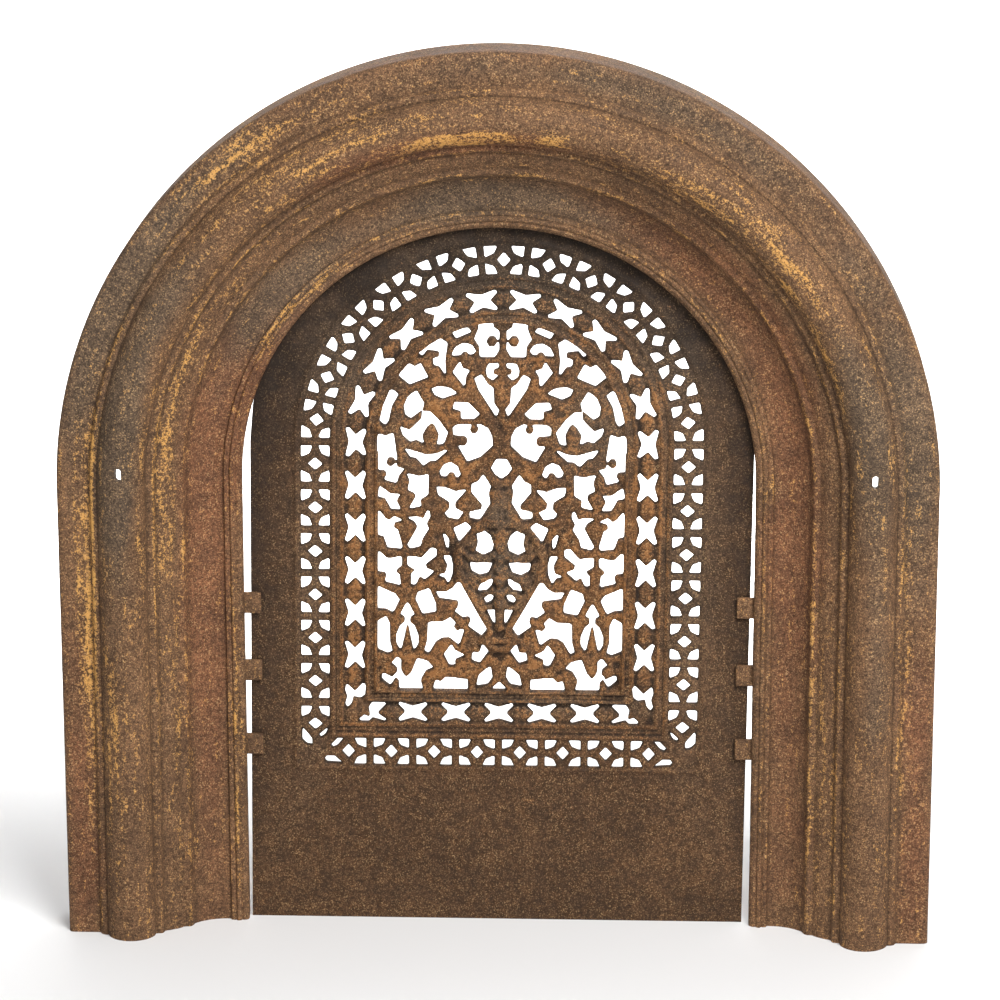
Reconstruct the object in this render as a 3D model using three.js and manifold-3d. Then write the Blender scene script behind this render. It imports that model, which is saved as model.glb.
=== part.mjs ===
// A cast-iron arched fireplace surround, with the pierced summer cover that stands in its opening.
// Millimetres, +Z up. The front faces -Y. The origin is on the floor, in the middle of the whole box.
import * as THREE from "three";
import { mergeVertices } from "three/addons/utils/BufferGeometryUtils.js";
import Module from "manifold-3d";

const wasm = await Module();
wasm.setup();

// Surround: overall form. Radii are measured from its upright centre line, in the legs as in the arch.
const OUTER_RADIUS = 400;
const SPRING_HEIGHT = 429;
const ARCH_STEPS = 20;
const IRON_WALL = 6;
const WALL_SETBACK = 6;
const OPENING_RADIUS = 235;

// Surround: its mouldings, from the rim inwards. Depths are measured forward from the back of the reveal.
const RIM_ROUNDING = 5;
const FLANGE_WIDTH = 32;
const FLANGE_DEPTH = 49.5;
const STEP_WIDTH = 6;
const STEP_DEPTH = 56;
const TORUS_WIDTH = 43.5;
const TORUS_RISE = 15.5;
const FILLET_WIDTH = 6.5;
const FILLET_DEPTH = 49.5;
const SPLAY_WIDTH = 19;
const SPLAY_TOP_DEPTH = 43;
const SPLAY_FOOT_DEPTH = 31;
const BEAD_WIDTH = 8.5;
const BEAD_DEPTH = 29.8;
const HOLLOW_TOP_DEPTH = 22;
const HOLLOW_DEPTH = 9.6;
const EDGE_BEAD_WIDTH = 16;
const EDGE_BEAD_DEPTH = 13.5;

// Surround: screw slots in the torus and the lugs that keep the cover back.
const SLOT_WIDTH = 5.4;
const SLOT_HEIGHT = 12;
const SLOT_CENTRE_HEIGHT = 447;
const SLOT_END_STEPS = 3;
const LUG_REACH = 15.5;
const LUG_HEIGHT = 20;
const LUG_THICKNESS = 5;
const LUG_CORNER = 4;
const LUG_ROOT = 3;
const LUG_CENTRE_HEIGHTS = [172, 244, 309];

// Cover: the plate. It stands on the floor just behind the lugs, a little askew in the opening.
const COVER_WIDTH = 461;
const COVER_THICKNESS = 5;
const COVER_GAP = 0.5;
const COVER_OFFSET = -2.3;
const COVER_LEAN_DEGREES = 0.66;
const PATTERN_SPRING_HEIGHT = 462.5;

// Cover: the band of pierced rings.
const RING_BAND_RADIUS = 171;
const RING_BAND_WIDTH = 25.8;
const RING_BAND_FOOT_HEIGHT = 165;
const RING_BAR_WIDTH = 7.5;
const RING_HOLE_REACH = 10.8;
const RING_HOLE_DEPTH = 9.9;
const RING_DIAMOND_LENGTH = 11.8;
const RING_DIAMOND_WIDTH = 13.4;
const RING_ROW_PITCH = 41.7;
const RING_LAST_ROW_RISE = 47.3;
const RING_COLUMNS = 7;
const RING_COLUMN_PITCH = 40;
const RING_ARCH_UNITS = 13;

// Cover: the band of pierced crosses.
const CROSS_BAND_RADIUS = 134;
const CROSS_BAND_FOOT_HEIGHT = 204;
const CROSS_LENGTH = 27;
const CROSS_WIDTH = 19;
const CROSS_WAIST_LENGTH = 13.2;
const CROSS_WAIST_WIDTH = 11.6;
const CROSS_ROW_PITCH = 40.7;
const CROSS_LAST_ROW_RISE = 55;
const CROSS_COLUMNS = 5;
const CROSS_ARCH_UNITS = 11;

// Cover: the scrollwork field and the raised frame round it.
const FIELD_HALF_WIDTH = 112;
const FIELD_FOOT_HEIGHT = 227;
const FRAME_WIDTH = 9;
const FRAME_RISE = 2.5;
const URN_RISE = 4;

const COVER_HALF = COVER_WIDTH / 2;
const TORUS_RADIUS = ((TORUS_WIDTH / 2) ** 2 + TORUS_RISE ** 2) / (2 * TORUS_RISE);
const DEPTH_FRONT = STEP_DEPTH + TORUS_RISE;
const BACK_Y = (DEPTH_FRONT + WALL_SETBACK) / 2;
const REVEAL_Y = BACK_Y - WALL_SETBACK;
const COVER_FRONT_Y = REVEAL_Y + COVER_GAP;
const LEAN = Math.tan(THREE.MathUtils.degToRad(COVER_LEAN_DEGREES));

// Solids

function solid(geometry) {
  const bare = geometry.index ? geometry.toNonIndexed() : geometry.clone();
  bare.deleteAttribute("normal");
  bare.deleteAttribute("uv");
  const merged = mergeVertices(bare, 1e-4);
  return new wasm.Manifold(
    new wasm.Mesh({
      numProp: 3,
      vertProperties: new Float32Array(merged.attributes.position.array),
      triVerts: new Uint32Array(merged.index.array),
    }),
  );
}

function mesh(name, body, material) {
  const { vertProperties, triVerts } = body.getMesh();
  const geometry = new THREE.BufferGeometry();
  geometry.setAttribute("position", new THREE.BufferAttribute(new Float32Array(vertProperties), 3));
  geometry.setIndex(new THREE.BufferAttribute(new Uint32Array(triVerts), 1));
  geometry.computeVertexNormals();
  const made = new THREE.Mesh(geometry, material);
  made.name = name;
  return made;
}

// A flat piece cut from the outline [x, z], from y = front back to y = back.
function slab(outline, front, back) {
  const shape = new THREE.Shape(outline.map(([x, z]) => new THREE.Vector2(x, z)));
  const geometry = new THREE.ExtrudeGeometry(shape, { depth: back - front, bevelEnabled: false });
  geometry.rotateX(Math.PI / 2);
  geometry.translate(0, back, 0);
  return solid(geometry);
}

function arc(centreX, centreZ, radius, fromDegrees, toDegrees, steps) {
  return Array.from({ length: steps + 1 }, (_, i) => {
    const angle = THREE.MathUtils.degToRad(fromDegrees + ((toDegrees - fromDegrees) * i) / steps);
    return [centreX + radius * Math.cos(angle), centreZ + radius * Math.sin(angle)];
  });
}

const mirror = (outline) => outline.map(([x, z]) => [-x, z]).reverse();

// Surround

// The section of the casting as [radius, depth]: round the front from the wall to the reveal, then back
// inside the hollow.
function section() {
  const flangeIn = OUTER_RADIUS - FLANGE_WIDTH;
  const torusOut = flangeIn - STEP_WIDTH;
  const torusMid = torusOut - TORUS_WIDTH / 2;
  const torusIn = torusOut - TORUS_WIDTH;
  const torusCentreDepth = DEPTH_FRONT - TORUS_RADIUS;
  const halfAngle = THREE.MathUtils.radToDeg(Math.asin(TORUS_WIDTH / 2 / TORUS_RADIUS));
  const filletIn = torusIn - FILLET_WIDTH;
  const splayIn = filletIn - SPLAY_WIDTH;
  const beadIn = splayIn - BEAD_WIDTH;
  const hollowIn = OPENING_RADIUS + EDGE_BEAD_WIDTH;
  const front = [
    [OUTER_RADIUS, -WALL_SETBACK],
    [OUTER_RADIUS, FLANGE_DEPTH - RIM_ROUNDING],
    [OUTER_RADIUS - RIM_ROUNDING, FLANGE_DEPTH],
    [flangeIn, FLANGE_DEPTH],
    ...arc(torusMid, torusCentreDepth, TORUS_RADIUS, 90 - halfAngle, 90 + halfAngle, 4),
    [torusIn - 1, FILLET_DEPTH],
    [filletIn, FILLET_DEPTH - 1],
    [filletIn - 3, SPLAY_TOP_DEPTH],
    [splayIn, SPLAY_FOOT_DEPTH],
    [beadIn + 2, BEAD_DEPTH],
    [beadIn, HOLLOW_TOP_DEPTH],
    [(beadIn + hollowIn) / 2, HOLLOW_DEPTH + (HOLLOW_TOP_DEPTH - HOLLOW_DEPTH) / 4],
    [hollowIn, HOLLOW_DEPTH],
    [OPENING_RADIUS + EDGE_BEAD_WIDTH * 0.6, EDGE_BEAD_DEPTH],
    [OPENING_RADIUS, EDGE_BEAD_DEPTH / 2],
    [OPENING_RADIUS, 0],
  ];
  const inside = [
    [OPENING_RADIUS + IRON_WALL, 0],
    [hollowIn + IRON_WALL, HOLLOW_DEPTH - IRON_WALL],
    [beadIn + IRON_WALL / 2, HOLLOW_TOP_DEPTH - IRON_WALL],
    [torusIn + IRON_WALL / 2, FILLET_DEPTH - IRON_WALL],
    [torusMid, DEPTH_FRONT - IRON_WALL],
    [torusOut - IRON_WALL / 2, FLANGE_DEPTH - IRON_WALL],
    [OUTER_RADIUS - IRON_WALL, FLANGE_DEPTH - IRON_WALL],
    [OUTER_RADIUS - IRON_WALL, -WALL_SETBACK],
  ];
  return [...front, ...inside];
}

// The section carried up one leg, round the arch and down the other.
function sweptFrame(profile) {
  const stations = [(radius) => [radius, 0]];
  for (let i = 0; i <= ARCH_STEPS; i += 1) {
    const angle = (Math.PI * i) / ARCH_STEPS;
    stations.push((radius) => [radius * Math.cos(angle), SPRING_HEIGHT + radius * Math.sin(angle)]);
  }
  stations.push((radius) => [-radius, 0]);
  const positions = stations.flatMap((place) =>
    profile.flatMap(([radius, depth]) => {
      const [x, z] = place(radius);
      return [x, REVEAL_Y - depth, z];
    }),
  );
  const count = profile.length;
  const index = [];
  for (let s = 0; s < stations.length - 1; s += 1) {
    for (let i = 0; i < count; i += 1) {
      const a = s * count + i;
      const b = s * count + ((i + 1) % count);
      index.push(a, a + count, b, b, a + count, b + count);
    }
  }
  const cap = THREE.ShapeUtils.triangulateShape(profile.map(([r, d]) => new THREE.Vector2(r, d)), []);
  const last = (stations.length - 1) * count;
  for (const [a, b, c] of cap) {
    index.push(a, b, c);
    index.push(last + c, last + b, last + a);
  }
  const geometry = new THREE.BufferGeometry();
  geometry.setAttribute("position", new THREE.BufferAttribute(new Float32Array(positions), 3));
  geometry.setIndex(index);
  return solid(geometry);
}

function lug(side, height) {
  const root = OPENING_RADIUS + LUG_ROOT;
  const tip = OPENING_RADIUS - LUG_REACH;
  const half = LUG_HEIGHT / 2;
  const outline = [
    [root, height - half],
    [root, height + half],
    [tip + LUG_CORNER, height + half],
    [tip, height + half - LUG_CORNER],
    [tip, height - half + LUG_CORNER],
    [tip + LUG_CORNER, height - half],
  ];
  return slab(side > 0 ? outline : mirror(outline), REVEAL_Y - LUG_THICKNESS, REVEAL_Y);
}

function slot(side) {
  const centre = side * (OUTER_RADIUS - FLANGE_WIDTH - STEP_WIDTH - TORUS_WIDTH / 2);
  const half = SLOT_WIDTH / 2;
  const straight = SLOT_HEIGHT / 2 - half;
  const outline = [
    ...arc(centre, SLOT_CENTRE_HEIGHT + straight, half, 0, 180, SLOT_END_STEPS),
    ...arc(centre, SLOT_CENTRE_HEIGHT - straight, half, 180, 360, SLOT_END_STEPS),
  ];
  return slab(outline, REVEAL_Y - DEPTH_FRONT - 1, REVEAL_Y);
}

function makeSurround() {
  let body = sweptFrame(section());
  for (const side of [-1, 1]) {
    for (const height of LUG_CENTRE_HEIGHTS) {
      body = body.add(lug(side, height));
    }
    body = body.subtract(slot(side));
  }
  return body;
}

// Summer cover

// Where a point of the upright pattern comes on the plate as it stands.
const lean = ([x, z]) => [x + COVER_OFFSET + LEAN * z, z];

// An outline that runs up one side, round the arch and down the other, at one distance from the centre line.
function archOutline(radius, foot) {
  return [[radius, foot], ...arc(0, PATTERN_SPRING_HEIGHT, radius, 0, 180, ARCH_STEPS), [-radius, foot]];
}

// The heights of the rows down one side of a band, from its springing to its last row, spaced as near to the
// pitch as fits.
function rowHeights(pitch, lastRow) {
  const reach = PATTERN_SPRING_HEIGHT - lastRow;
  const gaps = Math.max(1, Math.round(reach / pitch));
  return Array.from({ length: gaps + 1 }, (_, row) => PATTERN_SPRING_HEIGHT - (reach * row) / gaps);
}

// Places along a band: each takes [along, across], with across growing away from the centre, to [x, z].
const inColumn = (side, radius, height) => ([along, across]) => [side * (radius + across), height + along];
const inRow = (x, height) => ([along, across]) => [x + along, height - across];
const inArch = (degrees, radius) => ([along, across]) => {
  const angle = THREE.MathUtils.degToRad(degrees) + along / radius;
  return [(radius + across) * Math.cos(angle), PATTERN_SPRING_HEIGHT + (radius + across) * Math.sin(angle)];
};

// The four holes round one bar of the ring band.
function ringHoles(ends) {
  const edge = RING_BAND_WIDTH / 2;
  const bar = RING_BAR_WIDTH / 2;
  const quarter = [
    [bar, edge],
    [bar + RING_HOLE_REACH, edge],
    [bar + RING_HOLE_REACH * Math.SQRT1_2, edge - RING_HOLE_DEPTH * Math.SQRT1_2],
    [bar, edge - RING_HOLE_DEPTH],
  ];
  return ends.flatMap((end) => [1, -1].map((side) => quarter.map(([a, c]) => [a * end, c * side])));
}

function ringDiamond(centre) {
  const long = RING_DIAMOND_LENGTH / 2;
  const wide = RING_DIAMOND_WIDTH / 2;
  return [
    [centre - long, 0],
    [centre, wide],
    [centre + long, 0],
    [centre, -wide],
  ];
}

function ringBand() {
  const holes = [];
  const put = (outlines, place) => outlines.forEach((outline) => holes.push(outline.map(place)));
  const both = [-1, 1];
  const heights = rowHeights(RING_ROW_PITCH, RING_BAND_FOOT_HEIGHT + RING_LAST_ROW_RISE);
  for (const side of both) {
    heights.forEach((height, row) => {
      const place = inColumn(side, RING_BAND_RADIUS, height);
      put(ringHoles(row === 0 ? [-1] : both), place);
      put([ringDiamond((heights[1] - heights[0]) / 2)], place);
    });
  }
  const archPitch = 180 / RING_ARCH_UNITS;
  const halfUnit = (RING_BAND_RADIUS * THREE.MathUtils.degToRad(archPitch)) / 2;
  for (let unit = 0; unit <= RING_ARCH_UNITS; unit += 1) {
    const place = inArch(unit * archPitch, RING_BAND_RADIUS);
    const ends = both.filter((end) => (end > 0 ? unit < RING_ARCH_UNITS : unit > 0));
    put(ringHoles(ends), place);
    if (unit < RING_ARCH_UNITS) {
      put([ringDiamond(halfUnit)], place);
    }
  }
  for (let column = 0; column <= RING_COLUMNS; column += 1) {
    const x = (column - (RING_COLUMNS - 1) / 2) * RING_COLUMN_PITCH;
    const place = inRow(x, RING_BAND_FOOT_HEIGHT);
    put([ringDiamond(-RING_COLUMN_PITCH / 2)], place);
    if (column < RING_COLUMNS) {
      put(ringHoles(both), place);
    }
  }
  return holes;
}

// The odd leaf-shaped holes where the ring band turns its lower corner, for the right-hand side. They are
// given from the crossing of the band's two middle lines.
function ringCorner() {
  const leaves = [
    [[12, 23], [3.5, 12.5], [3, 6], [8, 7], [12, 11]],
    [[-12, 23], [-3.5, 15.5], [-5, 13.5], [-9, 16]],
    [[-9, -7.5], [-11, -5], [-18, -5], [-25.5, -11.5], [-10, -10.5]],
    [[-26, 12.5], [-21, 12.5], [-15, 6], [-16, 3.5], [-20.5, 5.5]],
  ];
  const place = ([x, z]) => [RING_BAND_RADIUS + x, RING_BAND_FOOT_HEIGHT + z];
  return leaves.map((leaf) => leaf.map(place)).flatMap((leaf) => [leaf, mirror(leaf)]);
}

// One cross-shaped hole, pinched at its middle.
function crossHole() {
  const long = CROSS_LENGTH / 2;
  const wide = CROSS_WIDTH / 2;
  const quarter = [
    [CROSS_WAIST_LENGTH / 2, 0],
    [long, wide * 0.74],
    [long * 0.9, wide],
    [0, CROSS_WAIST_WIDTH / 2],
  ];
  const corner = (x, z) => quarter.map(([a, c]) => [a * x, c * z]);
  const turn = [corner(1, 1), corner(-1, 1).reverse(), corner(-1, -1), corner(1, -1).reverse()];
  return turn.flatMap((points) => points.slice(0, -1));
}

function crossBand() {
  const holes = [];
  for (let unit = 0; unit <= CROSS_ARCH_UNITS; unit += 1) {
    holes.push(crossHole().map(inArch((unit * 180) / CROSS_ARCH_UNITS, CROSS_BAND_RADIUS)));
  }
  for (const height of rowHeights(CROSS_ROW_PITCH, CROSS_BAND_FOOT_HEIGHT + CROSS_LAST_ROW_RISE).slice(1)) {
    for (const side of [-1, 1]) {
      holes.push(crossHole().map(inColumn(side, CROSS_BAND_RADIUS, height)));
    }
  }
  for (let column = 0; column < CROSS_COLUMNS; column += 1) {
    const x = (column - (CROSS_COLUMNS - 1) / 2) * RING_COLUMN_PITCH;
    holes.push(crossHole().map(inRow(x, CROSS_BAND_FOOT_HEIGHT)));
  }
  return holes;
}

// The cut-short crosses at the cross band's lower corners, for the right-hand side.
function crossCorner() {
  const pieces = [
    [[8, 27], [0, 19.5], [-8, 28], [-10, 26], [-9, 16], [-5, 13], [2, 14.5], [3.5, 7.5], [7, 3.5], [9, 7],
      [7, 13.5], [9, 20]],
    [[-28.5, 9], [-16, 9], [-13, 4], [-14.5, -5.5], [-8.5, -3.5], [-4, -7.5], [-5, -9.5], [-13, -9.5],
      [-16, -6], [-28, -9.5], [-29, -7], [-20.5, -1.5], [-28.5, 7]],
  ];
  const place = ([x, z]) => [CROSS_BAND_RADIUS + x, CROSS_BAND_FOOT_HEIGHT + z];
  return pieces.map((piece) => piece.map(place)).flatMap((piece) => [piece, mirror(piece)]);
}

// The scrollwork, drawn as the holes between its stems and scrolls, for the right-hand half of a field
// 112 wide and 235.5 high to the springing: [across from the middle, up from the foot].
const DRAWN_HALF_WIDTH = 112;
const DRAWN_HEIGHT = 235.5;
const SCROLL_HOLES = {
  besideTopStem: [[10, 351], [22, 350], [21, 343], [25, 333], [20.3, 326], [20, 317], [8, 317], [4.5, 323],
    [4.5, 340.5], [10, 344]],
  underTopFrame: [[30, 340], [34.5, 345.5], [46.5, 341], [42.5, 334.5]],
  topScrollEye: [[25.5, 322], [29, 327], [36, 328.5], [42.5, 324.5], [45.5, 318], [27.5, 319.5]],
  shoulderScroll: [[51.5, 329], [59, 334], [67, 329.5], [76, 320], [73.5, 318], [69.5, 323.5], [57, 322],
    [56.5, 316], [62.5, 314], [62, 309], [57, 308], [52.5, 301], [53.5, 313]],
  stemEye: [[4.5, 310], [12, 309.5], [14.2, 304], [13, 298], [9, 295.5], [5.5, 299]],
  smallLeaf: [[39, 310.5], [44.5, 302], [35, 290], [34.5, 298], [31, 303.5], [37, 305]],
  besideFan: [[5.5, 262], [4, 267], [8.5, 273], [9.3, 287.5], [14, 290.5], [19.5, 299], [24.5, 296],
    [21, 286]],
  star: [[69, 297.5], [75, 309], [80, 306], [86.5, 310], [95, 299.5], [84.5, 291]],
  voluteTop: [[42.5, 282.5], [48, 286.5], [58, 288], [63.5, 286], [61, 281], [54.5, 278]],
  voluteOuter: [[78.5, 283.5], [85, 278.5], [88.7, 270], [87.5, 262], [83.5, 259.5], [74, 267],
    [72.5, 273]],
  voluteLeaf: [[50.5, 245.5], [59, 257.5], [66.5, 264.5], [72, 264.5], [72.5, 258], [84, 246.5],
    [92, 249.5], [90, 243], [83.5, 237], [78.5, 239], [72.5, 236], [74, 243], [69.5, 251], [64.5, 255],
    [60.5, 252], [56.5, 243], [58, 234.5], [54, 235.5]],
  besideFrame: [[96, 281], [102, 285.5], [106, 279], [112, 257], [107, 253], [105, 256], [102, 270]],
  outerHook: [[100, 243.5], [106, 241], [114, 243.3], [114, 229], [112, 226], [112, 210], [107, 210],
    [103.7, 206], [106.5, 200.5], [97, 198], [95.5, 204], [90.3, 210.5], [97, 212], [97, 222]],
  fanLeaf: [[21.5, 263], [31, 272.5], [42.5, 273.5], [44, 268], [36.5, 266], [36.5, 259], [26, 259]],
  besideTrunk: [[9.3, 233.5], [10, 242], [13.5, 249], [20, 252.7], [41, 252], [44, 249.5], [43.5, 243.5],
    [38, 243], [38.3, 231.5], [31, 219], [20, 223.3]],
  underVolute: [[51, 228.2], [60, 224.5], [70, 223.8], [87.5, 229], [83, 222.5], [78, 221.8], [71.5, 214.8],
    [66, 219], [61, 219]],
  lowerScrollEye: [[38.5, 206], [41, 213], [46.5, 216.5], [52, 214.5], [55.7, 208], [54.5, 204.7],
    [40.5, 203.5]],
  panel: [[67.7, 204.5], [76, 203.3], [85.5, 205.5], [83, 199], [84.8, 191], [79, 188.5], [77.3, 184],
    [83, 174], [74.5, 176], [75.5, 182], [68.3, 186.5]],
  panelOuter: [[111, 193], [112, 184.5], [106, 183.5], [100.5, 173.3], [93.7, 173], [97.3, 181],
    [94.3, 186], [102, 186.3]],
  underScroll: [[33.3, 191], [42, 189], [50.5, 192.5], [58.2, 193.3], [57, 186.7], [46.5, 179.8],
    [46, 173.5], [50.3, 169], [48, 165.5], [40, 163.8], [36, 169.8], [43, 173.5], [43.7, 179]],
  besideNeck: [[16.5, 204.5], [20.5, 199], [26, 196.5], [26.3, 189], [16, 177], [17, 172.5], [27.5, 170],
    [27.5, 165.3], [20, 164.3], [11, 179], [12.5, 189.5], [10.7, 195]],
  upperFleurIn: [[67, 170.8], [70.3, 162.5], [77, 164.8], [84.3, 164.3], [78.5, 161], [75.5, 155.5],
    [84.8, 138], [83, 135.7], [75, 137.7], [73.3, 144.5], [67.3, 154], [69.5, 159], [66, 166]],
  upperFleurOut: [[112, 170], [106.5, 162.5], [101.5, 161], [98, 164.8], [92, 162], [99, 160], [100, 155],
    [95.8, 152.5], [91.7, 138], [92.3, 135.3], [103.5, 136.5], [107, 147], [112, 148]],
  urnShoulder: [[28, 156], [32.5, 159.5], [42.5, 154.5], [38, 143.5]],
  urnSlit: [[48.5, 144], [52, 148.5], [49, 136.5]],
  lowerFleurIn: [[60, 134.5], [64, 134.8], [72, 125.3], [84.8, 127], [84.8, 119], [76.8, 114], [81, 110.5],
    [81.3, 101], [78.8, 101], [75, 109.8], [70, 106.3], [62.3, 113.2], [69, 116], [70.5, 120], [60, 128.5]],
  lowerFleurOut: [[92, 126.5], [92, 119], [98.7, 113], [94, 110], [93, 100.5], [105.5, 103.5], [103.7, 109],
    [106, 112.8], [112, 113.3], [112, 131], [104.5, 124.3]],
  urnLongSlit: [[51.5, 127.5], [47, 128], [45, 120], [45.5, 111], [48, 103.5], [50.5, 108], [55.7, 109.5],
    [49.5, 111.5], [47.5, 119]],
  urnFlank: [[37.5, 104], [20, 72], [12.5, 59.5], [17, 53], [28, 61], [25.8, 66.5], [28, 71.5], [34, 70],
    [40.5, 75], [37, 81], [38, 86], [55.5, 88.5], [58, 93.5], [50, 93], [43.5, 96.5]],
  stemWindowIn: [[66, 96], [75, 92.8], [77, 86], [71, 73], [60, 75.2], [60.3, 82.5]],
  stemWindowOut: [[112, 97.5], [112, 78], [105.5, 77.7], [99.3, 74.5], [94, 86], [97.7, 91]],
  stemDrop: [[85.5, 82.5], [80, 72], [84, 69.5], [84.3, 64.2], [80, 61], [76.3, 52], [76.3, 44], [79, 39],
    [83.9, 62.5], [87.1, 62.5], [92, 39], [94.7, 44], [94.7, 52], [91, 61], [86.7, 64.2], [87, 69.5],
    [91, 72]],
  frameSlot: [[105.5, 68.5], [112, 65], [112, 38.5], [104, 35], [100.3, 36.5], [102.7, 46], [103, 63]],
  footLeafOver: [[46, 68.3], [42, 64], [44, 60], [39.5, 55.3], [34, 57.5], [38, 44], [46.5, 50.5], [54, 50],
    [60, 46], [66, 35.5], [68.5, 37], [66, 46], [65.3, 63.5], [52, 64.5]],
  footLeafUnder: [[44.5, 42], [50.5, 33.5], [46, 24], [42, 24], [42.3, 29], [33.5, 33], [42, 37]],
  besideFoot: [[15.3, 42.5], [17.5, 35], [24, 35], [24.5, 28.5], [18.5, 26.5], [11, 37.5]],
  footCrescent: [[8.8, 21.2], [7.3, 12], [11, 6], [20, 4.2], [17.7, 14]],
  footBar: [[30.3, 9], [49.5, 10.8], [53, 6.5], [58.5, 7.3], [60, 0.3], [30, 0.3]],
  footTulip: [[62.5, 21], [67, 26.3], [75.5, 28.7], [80.5, 15.5], [85.5, 10], [89.5, 12.5], [92.3, 19],
    [92.3, 28], [95, 29.7], [99, 24.5], [94, 20.5], [93.5, 15.5], [97, 12], [92, 7.5], [92, 0.3], [72, 0.3],
    [74, 9], [69, 18]],
  footEye: [[98, 9.5], [107.5, 14], [108, 9.5], [101.5, 4]],
  urnEye: [[9, 134], [7.5, 141], [10, 148], [15, 152.5], [21, 149.5], [19.5, 141], [22, 134],
    [16, 130.5]],
  urnBelly: [[8.5, 122.5], [12, 113.5], [19, 111.3], [25.5, 115], [27, 122]],
  urnWaist: [[7.8, 107], [9, 101], [13, 96.7], [19.7, 96], [17, 102]],
  urnBud: [[6.8, 91], [8.5, 86.5], [12.5, 84.5], [13.5, 88], [10.5, 91.5]],
  urnTip: [[5.7, 77.5], [11, 77], [5.3, 65]],
};
const MIDDLE_HOLES = {
  trunkDiamond: [[0, 203], [5, 206.5], [8.5, 212], [4, 220], [-4, 220], [-8.5, 212], [-5, 206.5]],
  footTriangle: [[0, 6.5], [-5.5, 1], [5.5, 1]],
};

// The round ends of the scrolls, which fill part of a hole: [across, up, radius].
const SCROLL_EYES = [
  [10, 331.2, 6.4],
  [34.5, 317.5, 5],
  [6, 303, 4],
  [25.3, 249, 5.3],
  [35.5, 237.7, 5.8],
  [101.5, 217.5, 5.5],
  [46, 204, 5.2],
];
const EYE_SIDES = 6;

// The urn's outline, for its right-hand half, from lid to foot.
const URN_SIDE = [[0, 192], [11, 191], [11.5, 186], [9, 181], [12, 176], [20, 165], [30, 155], [38, 143],
  [42, 131], [42.5, 121], [41, 110], [37, 100], [32, 91], [20, 71], [12.5, 57], [17, 53], [17, 45], [0, 43]];

// Carries a drawn point to the field's own size.
function inField([across, up]) {
  const widen = FIELD_HALF_WIDTH / DRAWN_HALF_WIDTH;
  const straight = PATTERN_SPRING_HEIGHT - FIELD_FOOT_HEIGHT;
  const overSpring = Math.max(up - DRAWN_HEIGHT, 0);
  const underSpring = Math.min(up, DRAWN_HEIGHT);
  return [across * widen, FIELD_FOOT_HEIGHT + (underSpring * straight) / DRAWN_HEIGHT + overSpring * widen];
}

function scrollHoles() {
  const halves = Object.values(SCROLL_HOLES).map((hole) => hole.map(inField));
  const middle = Object.values(MIDDLE_HOLES).map((hole) => hole.map(inField));
  return [...halves, ...halves.map(mirror), ...middle];
}

function scrollEyes() {
  return SCROLL_EYES.flatMap(([across, up, radius]) => {
    const [x, z] = inField([across, up]);
    const eye = arc(x, z, radius, 0, 360, EYE_SIDES).slice(0, -1);
    return [eye, mirror(eye)];
  });
}

function makeCover() {
  const back = COVER_FRONT_Y + COVER_THICKNESS;
  const cut = (outline) => slab(outline.map(lean), COVER_FRONT_Y - URN_RISE - 1, back + 1);
  const raise = (outline, rise) => slab(outline.map(lean), COVER_FRONT_Y - rise, back);
  const holes = wasm.Manifold.union([
    ...[ringBand(), ringCorner(), crossBand(), crossCorner()].flat().map(cut),
    ...scrollHoles().map(cut),
  ]);
  const eyes = wasm.Manifold.union(scrollEyes().map((eye) => raise(eye, 0)));
  const plate = raise(archOutline(COVER_HALF, 0), 0);
  const frame = raise(archOutline(FIELD_HALF_WIDTH + FRAME_WIDTH, FIELD_FOOT_HEIGHT - FRAME_WIDTH), FRAME_RISE)
    .subtract(cut(archOutline(FIELD_HALF_WIDTH + 1, FIELD_FOOT_HEIGHT)));
  const urnSide = URN_SIDE.map(inField);
  const urn = raise([...urnSide, ...mirror(urnSide).slice(1, -1)].reverse(), URN_RISE);
  return plate.add(urn).subtract(holes).add(frame).add(eyes);
}

const rust = (color, roughness) => new THREE.MeshStandardMaterial({ color, roughness, metalness: 0.35 });

const fireplace = new THREE.Group();
fireplace.add(mesh("surround", makeSurround(), rust(0x6b4f3a, 0.85)));
fireplace.add(mesh("summer_cover", makeCover(), rust(0x5f4634, 0.88)));

export default fireplace;
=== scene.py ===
import math

import bmesh
import bpy
import numpy as np
from bpy.props import FloatProperty, FloatVectorProperty, IntProperty, PointerProperty
from mathutils import Matrix, Vector, geometry, noise


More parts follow.
